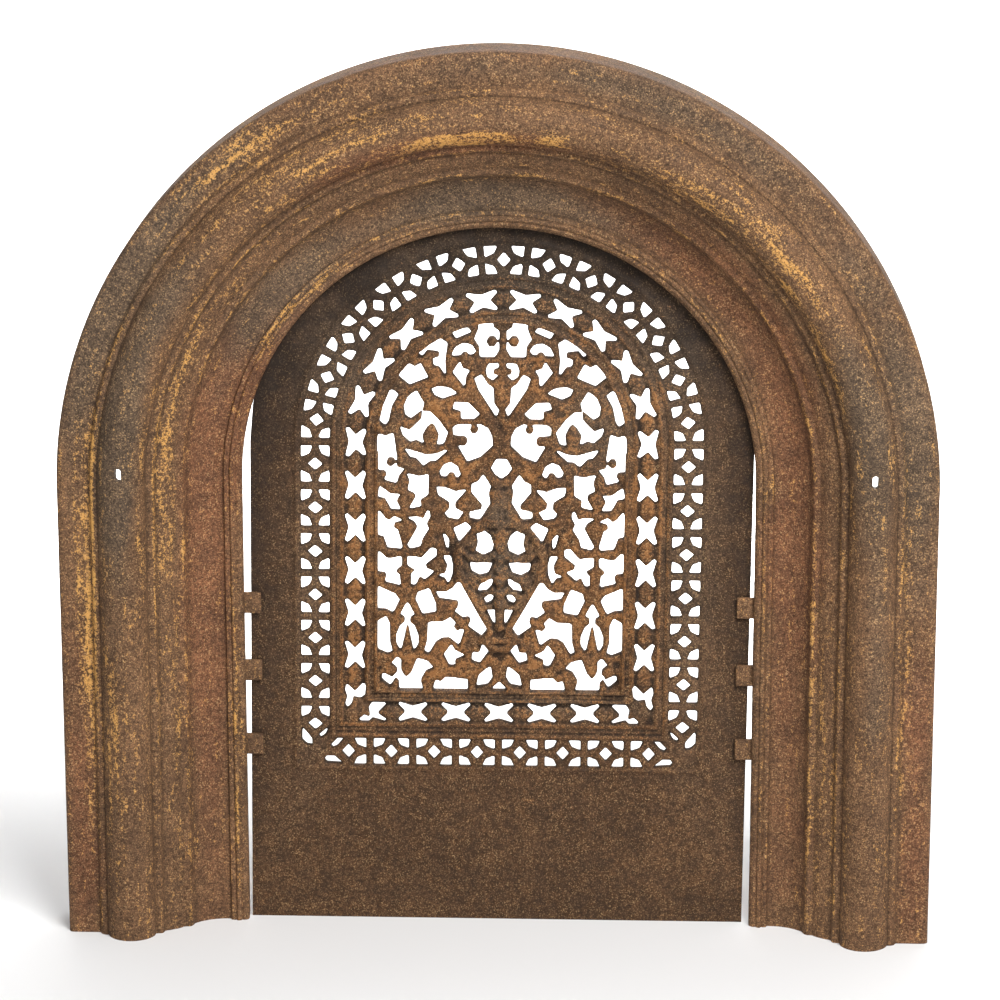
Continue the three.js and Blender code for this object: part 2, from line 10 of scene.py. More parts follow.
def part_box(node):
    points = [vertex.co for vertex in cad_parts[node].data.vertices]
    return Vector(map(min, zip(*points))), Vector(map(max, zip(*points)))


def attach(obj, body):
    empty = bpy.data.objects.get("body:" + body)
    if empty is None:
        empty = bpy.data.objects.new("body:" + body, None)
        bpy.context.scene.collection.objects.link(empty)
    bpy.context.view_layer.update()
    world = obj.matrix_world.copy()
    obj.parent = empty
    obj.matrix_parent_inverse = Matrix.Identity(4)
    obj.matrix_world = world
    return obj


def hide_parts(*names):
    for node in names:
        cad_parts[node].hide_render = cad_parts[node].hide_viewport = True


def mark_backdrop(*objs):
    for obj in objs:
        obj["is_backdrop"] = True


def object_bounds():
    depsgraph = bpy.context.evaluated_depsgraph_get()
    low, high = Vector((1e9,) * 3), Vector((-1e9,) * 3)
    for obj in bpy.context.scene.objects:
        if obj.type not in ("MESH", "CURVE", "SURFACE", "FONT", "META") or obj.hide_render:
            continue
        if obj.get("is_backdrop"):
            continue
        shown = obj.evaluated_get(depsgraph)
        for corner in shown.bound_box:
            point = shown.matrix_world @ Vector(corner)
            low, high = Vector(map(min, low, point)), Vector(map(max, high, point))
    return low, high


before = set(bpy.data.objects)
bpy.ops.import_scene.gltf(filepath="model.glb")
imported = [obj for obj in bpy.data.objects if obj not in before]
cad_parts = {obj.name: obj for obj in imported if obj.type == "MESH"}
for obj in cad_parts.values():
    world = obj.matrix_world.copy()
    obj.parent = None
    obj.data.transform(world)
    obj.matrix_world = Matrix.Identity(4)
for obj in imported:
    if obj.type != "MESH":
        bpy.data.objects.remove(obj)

bl_info = {
    "name": "Arched Fireplace Surround",
    "version": (1, 0, 0),
    "blender": (4, 5, 0),
    "location": "View3D > Sidebar > Fireplace",
    "description": "Dresses an arched cast-iron fireplace surround and its pierced summer cover",
    "category": "Object",
}

MM = 0.001

# Sizes read from the frame, in mm. Radii run from the upright centre line, in the legs as in the arch.
SURROUND_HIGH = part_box("surround")[1]
COVER_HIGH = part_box("summer_cover")[1]
OUTER_RADIUS = SURROUND_HIGH.x / MM
SPRING_HEIGHT = SURROUND_HIGH.z / MM - OUTER_RADIUS
WALL_Y = SURROUND_HIGH.y / MM
COVER_BACK_Y = COVER_HIGH.y / MM

# The surround's section, measured forward from the back of the reveal: radius, depth and how far the
# corner is rounded. It runs from the wall over the front to the reveal, and back along the inside. The
# torus's round top stands between the outer and the inner mouldings.
WALL_SETBACK = 6.0
REVEAL_Y = WALL_Y - WALL_SETBACK
OPENING_RADIUS = 235.0
TORUS_CENTRE = (340.2, 48.7)
TORUS_RADIUS = 22.8
TORUS_START_ANGLE = 0.3
TORUS_INNER_RADIUS = 318.6
TORUS_STEPS = 22
OUTER_MOULDINGS = (
    (400.0, -WALL_SETBACK, 0.0), (400.0, 49.5, 6.0), (370.2, 49.3, 1.6), (367.8, 54.6, 1.6),
    (363.6, 55.6, 1.0),
)
INNER_MOULDINGS = (
    (318.2, 51.2, 1.4), (311.6, 49.6, 2.0), (310.2, 43.4, 1.8), (304.0, 40.2, 3.0),
    (298.0, 36.4, 3.0), (293.4, 31.6, 1.2), (292.0, 31.4, 1.0), (287.0, 31.0, 3.2),
    (284.4, 22.6, 1.4),
)
HOLLOW_CONTROL = (271.5, 8.6)
HOLLOW_STEPS = 14
EDGE_MOULDINGS = (
    (252.0, 9.2, 0.8), (251.0, 12.4, 0.6), (247.4, 12.6, 0.6), (246.6, 11.8, 0.6),
    (245.4, 14.4, 1.4), (242.4, 14.0, 1.2), (241.2, 11.8, 0.6), (239.0, 12.6, 1.6),
    (235.0, 9.6, 2.4), (235.0, 0.0, 0.4),
)
INSIDE_CORNERS = (
    (241.0, 0.0, 0.0), (257.0, 3.4, 6.0), (287.5, 16.0, 6.0), (321.5, 43.5, 6.0),
    (340.2, 64.5, 6.0), (359.0, 43.5, 4.0), (394.0, 43.5, 4.0), (394.0, -WALL_SETBACK, 0.0),
)
CORNER_STEPS = 5
FRONT_STEP = 2.4
INSIDE_STEP = 9.0

# How a moulding counts as a ridge: the smoothed section's step in mm, its reach in steps, and the height
# in mm that counts as full
RIDGE_STEP = 0.5
RIDGE_REACH = 16
RIDGE_FULL = 3.0

# The surround's screw slots and its lugs
SLOT_SIZE = (5.4, 12.0)
SLOT_HEIGHT = 447.0
SLOT_DEPTH = 90.0
SLOT_ROUNDING = 0.45
LUG_HEIGHTS = (172.0, 244.0, 309.0)
LUG_SIZE = (15.5, 5.0, 20.0)
LUG_ROOT = 3.0
LUG_SETBACK = 0.15
LUG_ROUNDING = 1.5

# How the cast face wanders: how many long, short and sideways waves to the metre, the share of the short
# ones, how far up the foot the sideways ones grow, in metres, and how the waves fade at the rim, behind
# the face and towards the reveal, in mm
LONG_WAVES, SHORT_WAVES, SIDE_WAVES = 9.0, 34.0, 7.0
SHORT_WAVE_SHARE = 0.6
FLAT_FOOT = 0.004
RIM_FADE = 6.0
FRONT_FADE = 3.0
EDGE_FADE = 4.0

# The cover's pattern, in mm from the middle of its foot, before the plate's lean
COVER_THICKNESS = 5.0
COVER_OFFSET = -2.3
COVER_LEAN = math.tan(math.radians(0.66))
PATTERN_SPRING = 462.5
PATTERN_RADIUS = 193.5
PATTERN_FOOT = 143.0
PATTERN_BORDER = 4.0
INNER_PATTERN = (157.0, 178.0)
OUTER_BAND_SHARE = 0.3
CROSS_BAND_RADIUS = 134.0
CROSS_BAND_FOOT = 204.0
CROSS_ARCH_UNITS = 11
CROSS_ROW_PITCH = 40.7
CROSS_ROWS = 5
CROSS_COLUMN_PITCH = 40.0
CROSS_COLUMNS = (-2.5, -1.5, -0.5, 0.5, 1.5, 2.5)

# Raised lines that follow the arch: radius, foot height, width and rise
RIDGES = (
    (188.6, 148.6, 3.2, 1.5), (154.6, 180.4, 3.8, 2.4), (149.8, 186.6, 2.6, 1.0),
    (146.0, 192.0, 3.4, 2.2), (122.6, 216.2, 3.8, 3.0), (118.4, 220.4, 3.0, 1.6),
    (114.2, 224.6, 3.4, 2.8),
)

# The field's raised frame: radius and foot height of its line, half width, edge and rise of its step,
# where its low row ends, and its ticks
FRAME_LINE = (118.4, 220.4)
FRAME_HALF_WIDTH = 6.4
FRAME_EDGE = 1.2
FRAME_RISE = 1.4
FRAME_LOW_ROW = (118.0, 227.0)
TICK_PITCH = 5.6
TICK_WIDTH = 5.0
TICK_RISE = 0.9

# The rosettes between the crosses: width and rise of pip and petals, and how far out the petals are
ROSETTE_PIP = (4.4, 2.0)
ROSETTE_PETAL = (6.6, 1.7)
ROSETTE_REACH = 4.4

# The scrollwork: how far it lies inside the cross band, how much wider its holes are again, how far in
# from a hole its stems rise, and the share of its relief that the rest of the pattern has
FIELD_INSET = (16.0, 18.0)
FIELD_GROWTH = 0.8
STEM_HALF_WIDTH = 4.6
PLAIN_SHARE = 0.25

# The leafage: its sizes in metres, the share of the small leaves, how far in it is full, and its rise
LEAF_SIZES = (0.009, 0.0045)
SMALL_LEAF_SHARE = 0.6
LEAF_START = 3.0
LEAF_RISE = 1.6

# How far the pattern's relief is smoothed, how near an edge comes to a grid corner and how near the
# pattern's rim a point has to be to count as on it, in grid steps
EDGE_BLUR = 0.45
RISE_BLUR = 0.5
CORNER_GAP = 0.04
RIM_STEPS = 0.9

# The relief that sets the painted shade in the hollows and the painted highlight with orange rust on the
# crests: how far round it is levelled, in grid steps, and the height in mm that counts as fully raised
RELIEF_REACH = 3.4
RELIEF_FULL = 1.0

# The round ends of the scrolls: their rise, their width over their radius, and the place across, height
# and radius of each, mirrored about the middle
SCROLL_EYE_RISE = 2.6
SCROLL_EYE_WIDTH = 2.1
SCROLL_EYES = (
    (10.0, 558.2, 6.4), (34.5, 544.5, 5.0), (6.0, 530.0, 4.0), (25.3, 476.0, 5.3),
    (35.5, 464.7, 5.8), (101.5, 444.5, 5.5), (46.0, 431.0, 5.2),
)

# The urn: height and half width of its outline, from lid to foot, and of its rings, and then the relief
# on it. Ground and neck have a base and what their roundness adds.
URN_OUTLINE = (
    (418.0, 11.0), (413.0, 11.5), (408.0, 9.0), (403.0, 12.0), (392.0, 20.0), (382.0, 30.0),
    (370.0, 38.0), (358.0, 42.0), (348.0, 42.5), (337.0, 41.0), (327.0, 37.0), (318.0, 32.0),
    (298.0, 20.0), (284.0, 12.5), (280.0, 17.0), (272.0, 17.0), (270.0, 10.0),
)
URN_RINGS = ((415.0, 12.5), (276.0, 19.0), (268.0, 13.0))
URN_RING_WIDTH = 7.5
URN_RING_RISE = 6.0
URN_FLANK_SLOPE = 0.86
URN_GROUND = (1.2, 1.4)
URN_BASE = 1.6
URN_ROUND_RISE = 4.2
URN_RIM_INSET = 3.4
URN_RIM_WIDTH = 7.6
URN_STEM_WIDTH = 9.0
URN_STEM_FOOT = 288.0
URN_NECK = (3.0, 2.4)
URN_NECK_FOOT = 384.0
URN_VEIN_PITCH = 11.0
URN_VEIN_SLOPE = 0.9
URN_VEIN_RISE = 1.1
URN_VEIN_TOP = 380.0
URN_VEIN_INSET = 5.0

# Where the rust differs on the surround, as soft patches: how far from the crown round the rim in mm
# (the right side is positive), radius, half length, half width and amount
WORN_PATCHES = (
    (-750.0, 374.0, 170.0, 8.5, 0.8), (-680.0, 368.0, 170.0, 5.0, 0.75),
    (-860.0, 350.0, 90.0, 14.0, 0.45), (-250.0, 384.0, 90.0, 14.0, 0.55),
    (-40.0, 327.0, 75.0, 7.0, 0.8), (60.0, 329.0, 22.0, 6.0, 0.9),
    (-190.0, 345.0, 160.0, 16.0, 0.35), (-560.0, 305.0, 200.0, 9.0, 0.5),
    (-820.0, 296.0, 180.0, 5.0, 0.35), (-890.0, 243.0, 150.0, 5.0, 0.35),
    (-330.0, 247.0, 120.0, 5.0, 0.45), (330.0, 338.0, 110.0, 9.0, 0.6),
    (230.0, 330.0, 80.0, 10.0, 0.45), (420.0, 322.0, 100.0, 6.0, 0.35),
    (760.0, 372.0, 200.0, 8.0, 0.35), (900.0, 300.0, 160.0, 12.0, 0.3),
)
RED_PATCHES = (
    (-700.0, 268.0, 260.0, 22.0, 1.0), (-520.0, 255.0, 200.0, 30.0, 0.8),
    (-60.0, 322.0, 160.0, 10.0, 0.9), (620.0, 270.0, 330.0, 26.0, 0.7),
    (300.0, 268.0, 260.0, 20.0, 0.6), (430.0, 292.0, 200.0, 14.0, 0.6),
    (-940.0, 385.0, 160.0, 18.0, 0.6), (900.0, 385.0, 170.0, 18.0, 0.5),
)
GREY_PATCHES = (
    (-560.0, 345.0, 180.0, 20.0, 1.0), (-430.0, 385.0, 170.0, 20.0, 0.9),
    (-330.0, 265.0, 150.0, 24.0, 0.7), (0.0, 262.0, 240.0, 22.0, 0.7),
    (120.0, 385.0, 260.0, 20.0, 0.55), (560.0, 382.0, 200.0, 22.0, 0.7),
    (560.0, 340.0, 130.0, 22.0, 0.7), (760.0, 345.0, 160.0, 16.0, 0.5),
)

# Greyer patches on the cover, where the rust is thin: across, height, half width, half height, amount
COVER_THIN_PATCHES = (
    (0.0, 345.0, 36.0, 52.0, 1.0), (0.0, 400.0, 22.0, 26.0, 0.9), (0.0, 212.0, 170.0, 14.0, 0.7),
    (88.0, 480.0, 40.0, 50.0, 0.8), (-90.0, 470.0, 30.0, 60.0, 0.5), (0.0, 620.0, 190.0, 62.0, 1.0),
    (150.0, 540.0, 50.0, 70.0, 0.9), (-150.0, 540.0, 50.0, 70.0, 0.9),
    (174.0, 380.0, 22.0, 200.0, 0.7), (-174.0, 340.0, 18.0, 200.0, 0.5),
)

# Painted shade and soot on the cover next to the opening's edge, where the surround's edge shades it, at
# the crown
# and at the foot: how far in it reaches in mm and how much there is. It grows above the start and fades
# near the floor.
SHADE_AND_SOOT_REACH = (85.0, 22.0)
SHADE_AND_SOOT_AMOUNT = (1.0, 0.9)
SHADE_AND_SOOT_START = 150.0
SHADE_AND_SOOT_FADE = 160.0

# How much duller the plain plate's rust is than the pattern's
PLATE_DULLNESS = 0.045

# Orange patches on the cover: across, height, half width, half height and amount
COVER_PATCHES = (
    (-62.0, 490.0, 12.0, 12.0, 1.0), (-38.0, 440.0, 14.0, 10.0, 0.8), (28.0, 432.0, 12.0, 8.0, 0.7),
    (140.0, 500.0, 9.0, 20.0, 0.8), (135.0, 420.0, 12.0, 60.0, 0.45),
    (60.0, 310.0, 60.0, 60.0, 0.25), (-134.0, 300.0, 14.0, 80.0, 0.5),
    (-60.0, 250.0, 60.0, 20.0, 0.5),
)

# The photograph's camera, in metres, found from the outline, the moulding lines and the floor section
SENSOR_WIDTH = 36.0
CAMERA_PLACE = (0.1482, -3.5053, 1.3581)
CAMERA_RIGHT = (0.99915, 0.04127, -0.00065)
CAMERA_UP = (-0.01006, 0.25874, 0.96590)
CAMERA_FORWARD = (-0.04003, 0.96507, -0.25893)

# The stage, in metres: the backdrop, and each light's size, place and the point it is turned to
BACKDROP_Y = 1.6
BACKDROP_FOOT = -0.2
BACKDROP_TOP = 4.0
LIGHTS = {
    "key": (1.6, (1.15, -2.2, 2.6), (0, 0, 0.4)),
    "front": (2.0, (-1.6, -3.0, 1.6), (0, 0, 0.4)),
    "rear": (1.6, (0, 0.7, 3.4), (0, BACKDROP_Y, 1.0)),
}
REAR_SPREAD = math.radians(42)
STAGE_ROUGHNESS = 0.9
PAPER_SHADE = 0.9
GROUND_SHADE = 0.78

# The rust's noises: shift, scale, detail, roughness and distortion
NOISES = {
    "broad": ((0, 0, 0), 11.0, 3.0, 0.6, 0.4),
    "middle": ((3.1, 1.7, 5.2), 60.0, 3.0, 0.65, 0.0),
    "fine": ((8.3, 2.1, 0.4), 260.0, 2.0, 0.65, 0.0),
    "grain": ((1.2, 7.7, 3.9), 760.0, 2.0, 0.6, 0.0),
    "pits": ((6.5, 0.8, 9.1), 430.0, 2.0, 0.7, 0.0),
}
# How each noise lightens and darkens the rust: its low and high value and the brightness there
CONTRAST = {
    "broad": (0.3, 0.7, 0.80, 1.10),
    "middle": (0.3, 0.7, 0.80, 1.12),
    "fine": (0.32, 0.68, 0.66, 1.26),
    "grain": (0.30, 0.70, 0.60, 1.36),
}
# How the rust's parts come and go: low and high value of what drives each, and its amount there
BRIGHT_STEP = (0.70, 0.83, 0.0, 0.78)
FLECK_STEP = (0.56, 0.70)
FLECK_PATCHES = (0.40, 0.62, 0.25, 0.75)
PIT_STEP = (0.28, 0.43, 0.7, 0.0)
ROUGHNESS_STEP = (0.3, 0.7, 0.72, 0.92)
RED_STEP = (0.55, 1.10, 0.0, 0.7)
GREY_STEP = (0.60, 1.15, 0.0, 0.8)
# Painted shade in the mouldings' quirks, where the section dips below its smoothed run
QUIRK_SHADE_STEP = (-0.10, -0.8, 0.0, 0.45)
# Painted highlight, with orange rust, on the cover relief's crests
COVER_HIGH_STEP = (0.1, 0.8)
# Painted shade in the cover relief's hollows
COVER_HOLLOW_SHADE_STEP = (0.05, -0.6, 0.0, 0.82)
COVER_BLOTCH_STEP = (0.45, 0.65, 0.0, 0.18)
# Painted shade and soot on the cover, broken into patches: low and high value of the noise and the
# amount there
SHADE_AND_SOOT_PATCH_STEP = (0.3, 0.6, 0.6, 1.0)
STREAK_SHARE = 0.45
SPECK_SHARE = 0.4
# How far the painted shade and soot hide the bright rust and the flecks
SHADE_AND_SOOT_COVER = 0.8
BUMP_SHARES = {"pits": 0.5, "fine": 0.5, "middle": 0.8}

# How much each worn, high or thin place brightens or recolours the rust; on the high places this is
# partly painted highlight
WORN_BRIGHTNESS = 0.20
CREST_RUST_AND_HIGHLIGHT = 0.10
COVER_WORN_BRIGHTNESS = 0.16
COVER_CREST_RUST_AND_HIGHLIGHT = 0.09
COVER_HIGH_ORANGE = 0.15
COVER_WORN_ORANGE = 0.5
COVER_THIN_GREY = 0.9

# How fast the surround's streaks change along and across the mouldings, and the cover's any way, and the
# noises of the streaks, the blotches and the painted shade and soot
STREAK_SCALE = (18.0, 150.0)
COVER_STREAK_SCALE = 55.0
STREAK_NOISE = (1.0, 3.0, 0.7)
SURROUND_BLOTCHES = (8.0, 3.0, 0.65, 0.6)
COVER_BLOTCHES = (22.0, 4.0, 0.6, 0.5)
SHADE_AND_SOOT_SHIFT = (4.4, 0.3, 2.8)
SHADE_AND_SOOT_NOISE = (26.0, 3.0, 0.6)

# The iron's shine, and the angle from which an edge is shown sharp
IRON_IOR = 1.45
IRON_SPECULAR = 0.3
SURROUND_SHARP_DEGREES = 38.0
COVER_SHARP_DEGREES = 50.0


def colour(name, code, description):
    """A colour property from a hex code as it looks on screen."""
    shown = [int(code[i : i + 2], 16) / 255 for i in (0, 2, 4)]
    linear = [v / 12.92 if v <= 0.04045 else ((v + 0.055) / 1.055) ** 2.4 for v in shown]
    return FloatVectorProperty(
        name=name, description=description, subtype="COLOR", size=3, min=0.0, max=1.0, default=linear
    )


def length(name, default, description):
    """A length property, in metres."""
    return FloatProperty(name=name, description=description, unit="LENGTH", default=default)


def strength(name, default, description):
    """A number without a unit."""
    return FloatProperty(name=name, description=description, default=default)


class FireplaceCasting(bpy.types.PropertyGroup):
    """Sizes of the two castings."""

    leg_step: length("Leg step", 0.006, "Distance between sections up the legs")
    arch_steps: IntProperty(
        name="Arch steps", description="Number of sections round the arch", default=110
    )
    unevenness: length("Unevenness", 0.0004, "How far the cast face wanders")
    cover_pitch: length("Cover grid", 0.00145, "Grid of the cover's pattern")
    lip: length("Lip", 0.0016, "Rounding at the edge of each pierced hole")
    dome: length("Dome", 0.0038, "Rise of the rounded scrollwork stems")
    hole_growth: length("Hole growth", 0.0003, "How much wider each hole is than the solid's")
    hole_drop: length("Hole drop", 0.0008, "How much lower each hole is than the solid's")
    seed: IntProperty(name="Seed", description="Start of the unevenness", default=11)


class FireplaceRust(bpy.types.PropertyGroup):
    """Colours of the old iron."""

    brown: colour("Brown", "6B4E36", "The surround's main rust")
    grey: colour("Grey brown", "5A4B3C", "Iron where the rust is thin")
    red: colour("Red brown", "714830", "Redder rust")
    # On the surround's crests the ochre is partly painted highlight
    ochre: colour("Ochre", "D49E54", "Yellow rust on the worn and high places, with painted highlight on the high ones")
    pale: colour("Pale", "B4946A", "Pale flecks")
    # The dark colour serves the pits and the painted shade, with soot on the cover
    dark: colour("Dark", "1E150E", "Pits, and painted shade in quirks and hollows with soot on the cover")
    cover_brown: colour("Cover brown", "543B26", "The cover's main rust")
    cover_orange: colour("Cover orange", "8E6036", "Orange rust on the cover")
    pitting: length("Pitting", 0.0007, "Depth of the rust's texture")


class FireplaceStage(bpy.types.PropertyGroup):
    """The pale room that the parts are shown in."""

    lens: strength("Lens", 144.0, "Focal length in mm on a 36 mm sensor")
    floor_size: length("Floor", 9.0, "Side of the floor")
    world_light: strength("World light", 0.26, "Strength of the even light")
    key_light: strength("Key light", 158.0, "Power of the high light in front on the right, in watts")
    front_light: strength("Front light", 14.0, "Power of the front light on the left, in watts")
    back_light: strength("Back light", 70.0, "Power of the backdrop's light in watts")


# Outlines


def rounded(corners):
    """A polyline through the corners [radius, depth, rounding], each rounded by a quadratic arc."""
    points = []
    for i, (radius, depth, rounding) in enumerate(corners):
        here = Vector((radius, depth))
        if i in (0, len(corners) - 1) or rounding <= 0:
            points.append(here)
            continue
        before = Vector(corners[i - 1][:2]) - here
        after = Vector(corners[i + 1][:2]) - here
        start = here + before.normalized() * min(rounding, before.length / 2)
        end = here + after.normalized() * min(rounding, after.length / 2)
        points.extend(quadratic(start, here, end, CORNER_STEPS))
    return points


def quadratic(start, control, end, steps):
    """Points along a quadratic arc, both ends included."""
    at = [i / steps for i in range(steps + 1)]
    return [start * (1 - t) ** 2 + control * 2 * t * (1 - t) + end * t**2 for t in at]


def torus_top():
    """The round top of the torus, from its outer to its inner side."""
    centre = Vector(TORUS_CENTRE)
    last = math.acos((TORUS_INNER_RADIUS - centre.x) / TORUS_RADIUS)
    turn = (last - TORUS_START_ANGLE) / TORUS_STEPS
    angles = [TORUS_START_ANGLE + turn * i for i in range(TORUS_STEPS + 1)]
    return [centre + TORUS_RADIUS * Vector((math.cos(a), math.sin(a))) for a in angles]


def front_outline():
    """The section's front, from the wall to the reveal, as vectors (radius, depth)."""
    inner = rounded(INNER_MOULDINGS)
    edge = rounded(EDGE_MOULDINGS)
    hollow = quadratic(inner[-1], Vector(HOLLOW_CONTROL), edge[0], HOLLOW_STEPS)[1:-1]
    return [*rounded(OUTER_MOULDINGS), *torus_top(), *inner, *hollow, *edge]


def even(points, longest):
    """The same outline with long stretches split, so that no step is longer than that."""
    out = [points[0]]
    for a, b in zip(points, points[1:]):
        parts = max(1, math.ceil((b - a).length / longest))
        out.extend(a.lerp(b, i / parts) for i in range(1, parts + 1))
    return out


def path_points(settings):
    """The opening's own line up the right leg, round the arch and down the left one, as (x, z)."""
    legs = math.ceil(SPRING_HEIGHT * MM / settings.leg_step)
    right = [(OPENING_RADIUS, SPRING_HEIGHT * i / legs) for i in range(legs)]
    turn = [math.pi * i / settings.arch_steps for i in range(settings.arch_steps + 1)]
    arch = [(OPENING_RADIUS * math.cos(a), SPRING_HEIGHT + OPENING_RADIUS * math.sin(a)) for a in turn]
    return [*right, *arch, *[(-x, z) for x, z in reversed(right)]]


# Objects


def link(obj):
    bpy.context.scene.collection.objects.link(obj)
    return obj


def poly_curve(name, points, cyclic=False):
    """A curve object of straight steps through points, in metres."""
    curve = bpy.data.curves.new(name, "CURVE")
    curve.dimensions = "3D"
    spline = curve.splines.new("POLY")
    spline.points.add(len(points) - 1)
    for item, place in zip(spline.points, points):
        item.co = (*place, 1.0)
    spline.use_cyclic_u = cyclic
    return link(bpy.data.objects.new(name, curve))


def remove(*objects):
    """Deletes helper objects with their data."""
    for obj in objects:
        data = obj.data
        bpy.data.objects.remove(obj)
        if isinstance(data, bpy.types.Curve):
            bpy.data.curves.remove(data)
        elif isinstance(data, bpy.types.Mesh):
            bpy.data.meshes.remove(data)


def applied(obj, name):
    """A plain mesh object of what the modifiers on obj make. obj itself is deleted."""
    graph = bpy.context.evaluated_depsgraph_get()
    mesh = bpy.data.meshes.new_from_object(obj.evaluated_get(graph))
    mesh.name = name
    obj.modifiers.clear()
    remove(obj)
    return link(bpy.data.objects.new(name, mesh))


def new_sockets(tree, in_out, kinds):
    """Adds a node group's sockets from {name: kind} and gives their identifiers by name."""
    made = {}
    for name, kind in kinds.items():
        socket = tree.interface.new_socket(name, in_out=in_out, socket_type="NodeSocket" + kind)
        made[name] = socket.identifier
    return made


def sweep_tree():
    """Geometry Nodes that carry a closed section along a path and close the ends."""
    tree = bpy.data.node_groups.new("moulding_sweep", "GeometryNodeTree")
    sockets = new_sockets(
        tree, "INPUT", {"Path": "Object", "Section": "Object", "Material": "Material"}
    )
    new_sockets(tree, "OUTPUT", {"Geometry": "Geometry"})
    add = tree.nodes.new
    given = add("NodeGroupInput")
    path = add("GeometryNodeObjectInfo")
    section = add("GeometryNodeObjectInfo")
    normals = add("GeometryNodeSetCurveNormal")
    normals.mode = "MINIMUM_TWIST"
    swept = add("GeometryNodeCurveToMesh")
    swept.inputs["Fill Caps"].default_value = True
    whole = add("GeometryNodeRealizeInstances")
    painted = add("GeometryNodeSetMaterial")
    result = add("NodeGroupOutput")
    for giver, out, taker, into in (
        (given, "Path", path, "Object"),
        (given, "Section", section, "Object"),
        (path, "Geometry", normals, "Curve"),
        (normals, "Curve", swept, "Curve"),
        (section, "Geometry", swept, "Profile Curve"),
        (swept, "Mesh", whole, "Geometry"),
        (whole, "Geometry", painted, "Geometry"),
        (given, "Material", painted, "Material"),
        (painted, "Geometry", result, "Geometry"),
    ):
        tree.links.new(giver.outputs[out], taker.inputs[into])
    return tree, sockets


def sweep(name, path, section, material):
    """A mesh object of the section carried along the path, both in metres."""
    tree, sockets = sweep_tree()
    path_object = poly_curve(name + "_path", path)
    section_object = poly_curve(name + "_section", section, cyclic=True)
    holder = link(bpy.data.objects.new(name + "_holder", bpy.data.meshes.new(name + "_holder")))
    modifier = holder.modifiers.new("sweep", "NODES")
    modifier.node_group = tree
    modifier[sockets["Path"]] = path_object
    modifier[sockets["Section"]] = section_object
    modifier[sockets["Material"]] = material
    made = applied(holder, name)
    face_outwards(made.data)
    remove(path_object, section_object)
    bpy.data.node_groups.remove(tree)
    return made


def combine(target, other, operation):
    """target after the boolean with other, which is deleted."""
    modifier = target.modifiers.new(operation.lower(), "BOOLEAN")
    modifier.operation = operation
    modifier.solver = "EXACT"
    modifier.object = other
    name = target.name
    target.name = name + "_before"
    made = applied(target, name)
    remove(other)
    return made


def shape_object(name, shape):
    """A mesh object of a bmesh, which is freed."""
    mesh = bpy.data.meshes.new(name)
    shape.to_mesh(mesh)
    shape.free()
    return link(bpy.data.objects.new(name, mesh))


def block(name, low, high, bevel, segments=3):
    """A box between two corners in mm with rounded edges."""
    shape = bmesh.new()
    bmesh.ops.create_cube(shape, size=1.0)
    size = Vector(high) - Vector(low)
    middle = (Vector(high) + Vector(low)) / 2
    for vert in shape.verts:
        vert.co = Vector(vert.co[i] * size[i] for i in range(3)) + middle
    bmesh.ops.bevel(
        shape, geom=shape.edges[:], offset=bevel, segments=segments, profile=0.5, affect="EDGES"
    )
    bmesh.ops.scale(shape, vec=(MM, MM, MM), verts=shape.verts)
    return shape_object(name, shape)


def merge_blocks(name, blocks):
    """One object of several meshes that don't touch."""
    shape = bmesh.new()
    for obj in blocks:
        shape.from_mesh(obj.data)
    remove(*blocks)
    return shape_object(name, shape)


def face_outwards(mesh):
    """Turns every face's front to the outside."""
    shape = bmesh.new()
    shape.from_mesh(mesh)
    bmesh.ops.recalc_face_normals(shape, faces=shape.faces)
    shape.to_mesh(mesh)
    shape.free()


def coordinates(mesh):
    flat = np.empty(len(mesh.vertices) * 3)
    mesh.vertices.foreach_get("co", flat)
    return flat.reshape(-1, 3)


def set_coordinates(mesh, places):
    mesh.vertices.foreach_set("co", np.ascontiguousarray(places, dtype=np.float64).ravel())
    mesh.update()


def store(mesh, name, values):
    """Keeps one number per vertex for the material."""
    attribute = mesh.attributes.new(name, "FLOAT", "POINT")
    attribute.data.foreach_set("value", np.asarray(values, dtype=np.float32))


def wander(places, scale, seed):
    """Smooth noise from -1 to 1 at places in metres."""
    shift = Vector((seed * 1.7, seed * 0.9, seed * 2.3))
    return np.array([noise.noise(Vector(p) * scale + shift) for p in places])


# Surround


def radius_along(places):
    """How far each place in metres is from the centre line, in mm, in the legs as in the arch."""
    over = np.maximum(places[:, 2] / MM - SPRING_HEIGHT, 0.0)
    return np.hypot(places[:, 0] / MM, over)


def distance_round(places):
    """How far round the rim from the crown each place in metres is, in mm, growing to the right."""
    x, z = places[:, 0] / MM, places[:, 2] / MM - SPRING_HEIGHT
    in_arch = OUTER_RADIUS * np.arctan2(np.abs(x), np.maximum(z, 1e-6))
    down = OUTER_RADIUS * math.pi / 2 - z
    return np.sign(x) * np.where(z > 0, in_arch, down)


def patches(first, second, table):
    """The strongest of the soft elliptical patches at each place."""
    amount = np.zeros(len(first))
    for at_first, at_second, half_first, half_second, strength in table:
        away = ((first - at_first) / half_first) ** 2 + ((second - at_second) / half_second) ** 2
        amount = np.maximum(amount, strength * np.exp(-away))
    return amount


def section_run(points):
    """An outline's radii and depths at even steps, and its height over its smoothed run, in mm."""
    radius = np.array([p.x for p in points])
    depth = np.array([p.y for p in points])
    steps = np.arange(OPENING_RADIUS + 1, OUTER_RADIUS - 1, RIDGE_STEP)
    run = np.interp(steps, radius[::-1], depth[::-1])
    kernel = np.hanning(2 * RIDGE_REACH + 1)
    padded = np.pad(run, RIDGE_REACH, mode="edge")
    smooth = np.convolve(padded, kernel / kernel.sum(), mode="valid")
    return steps, run, run - smooth


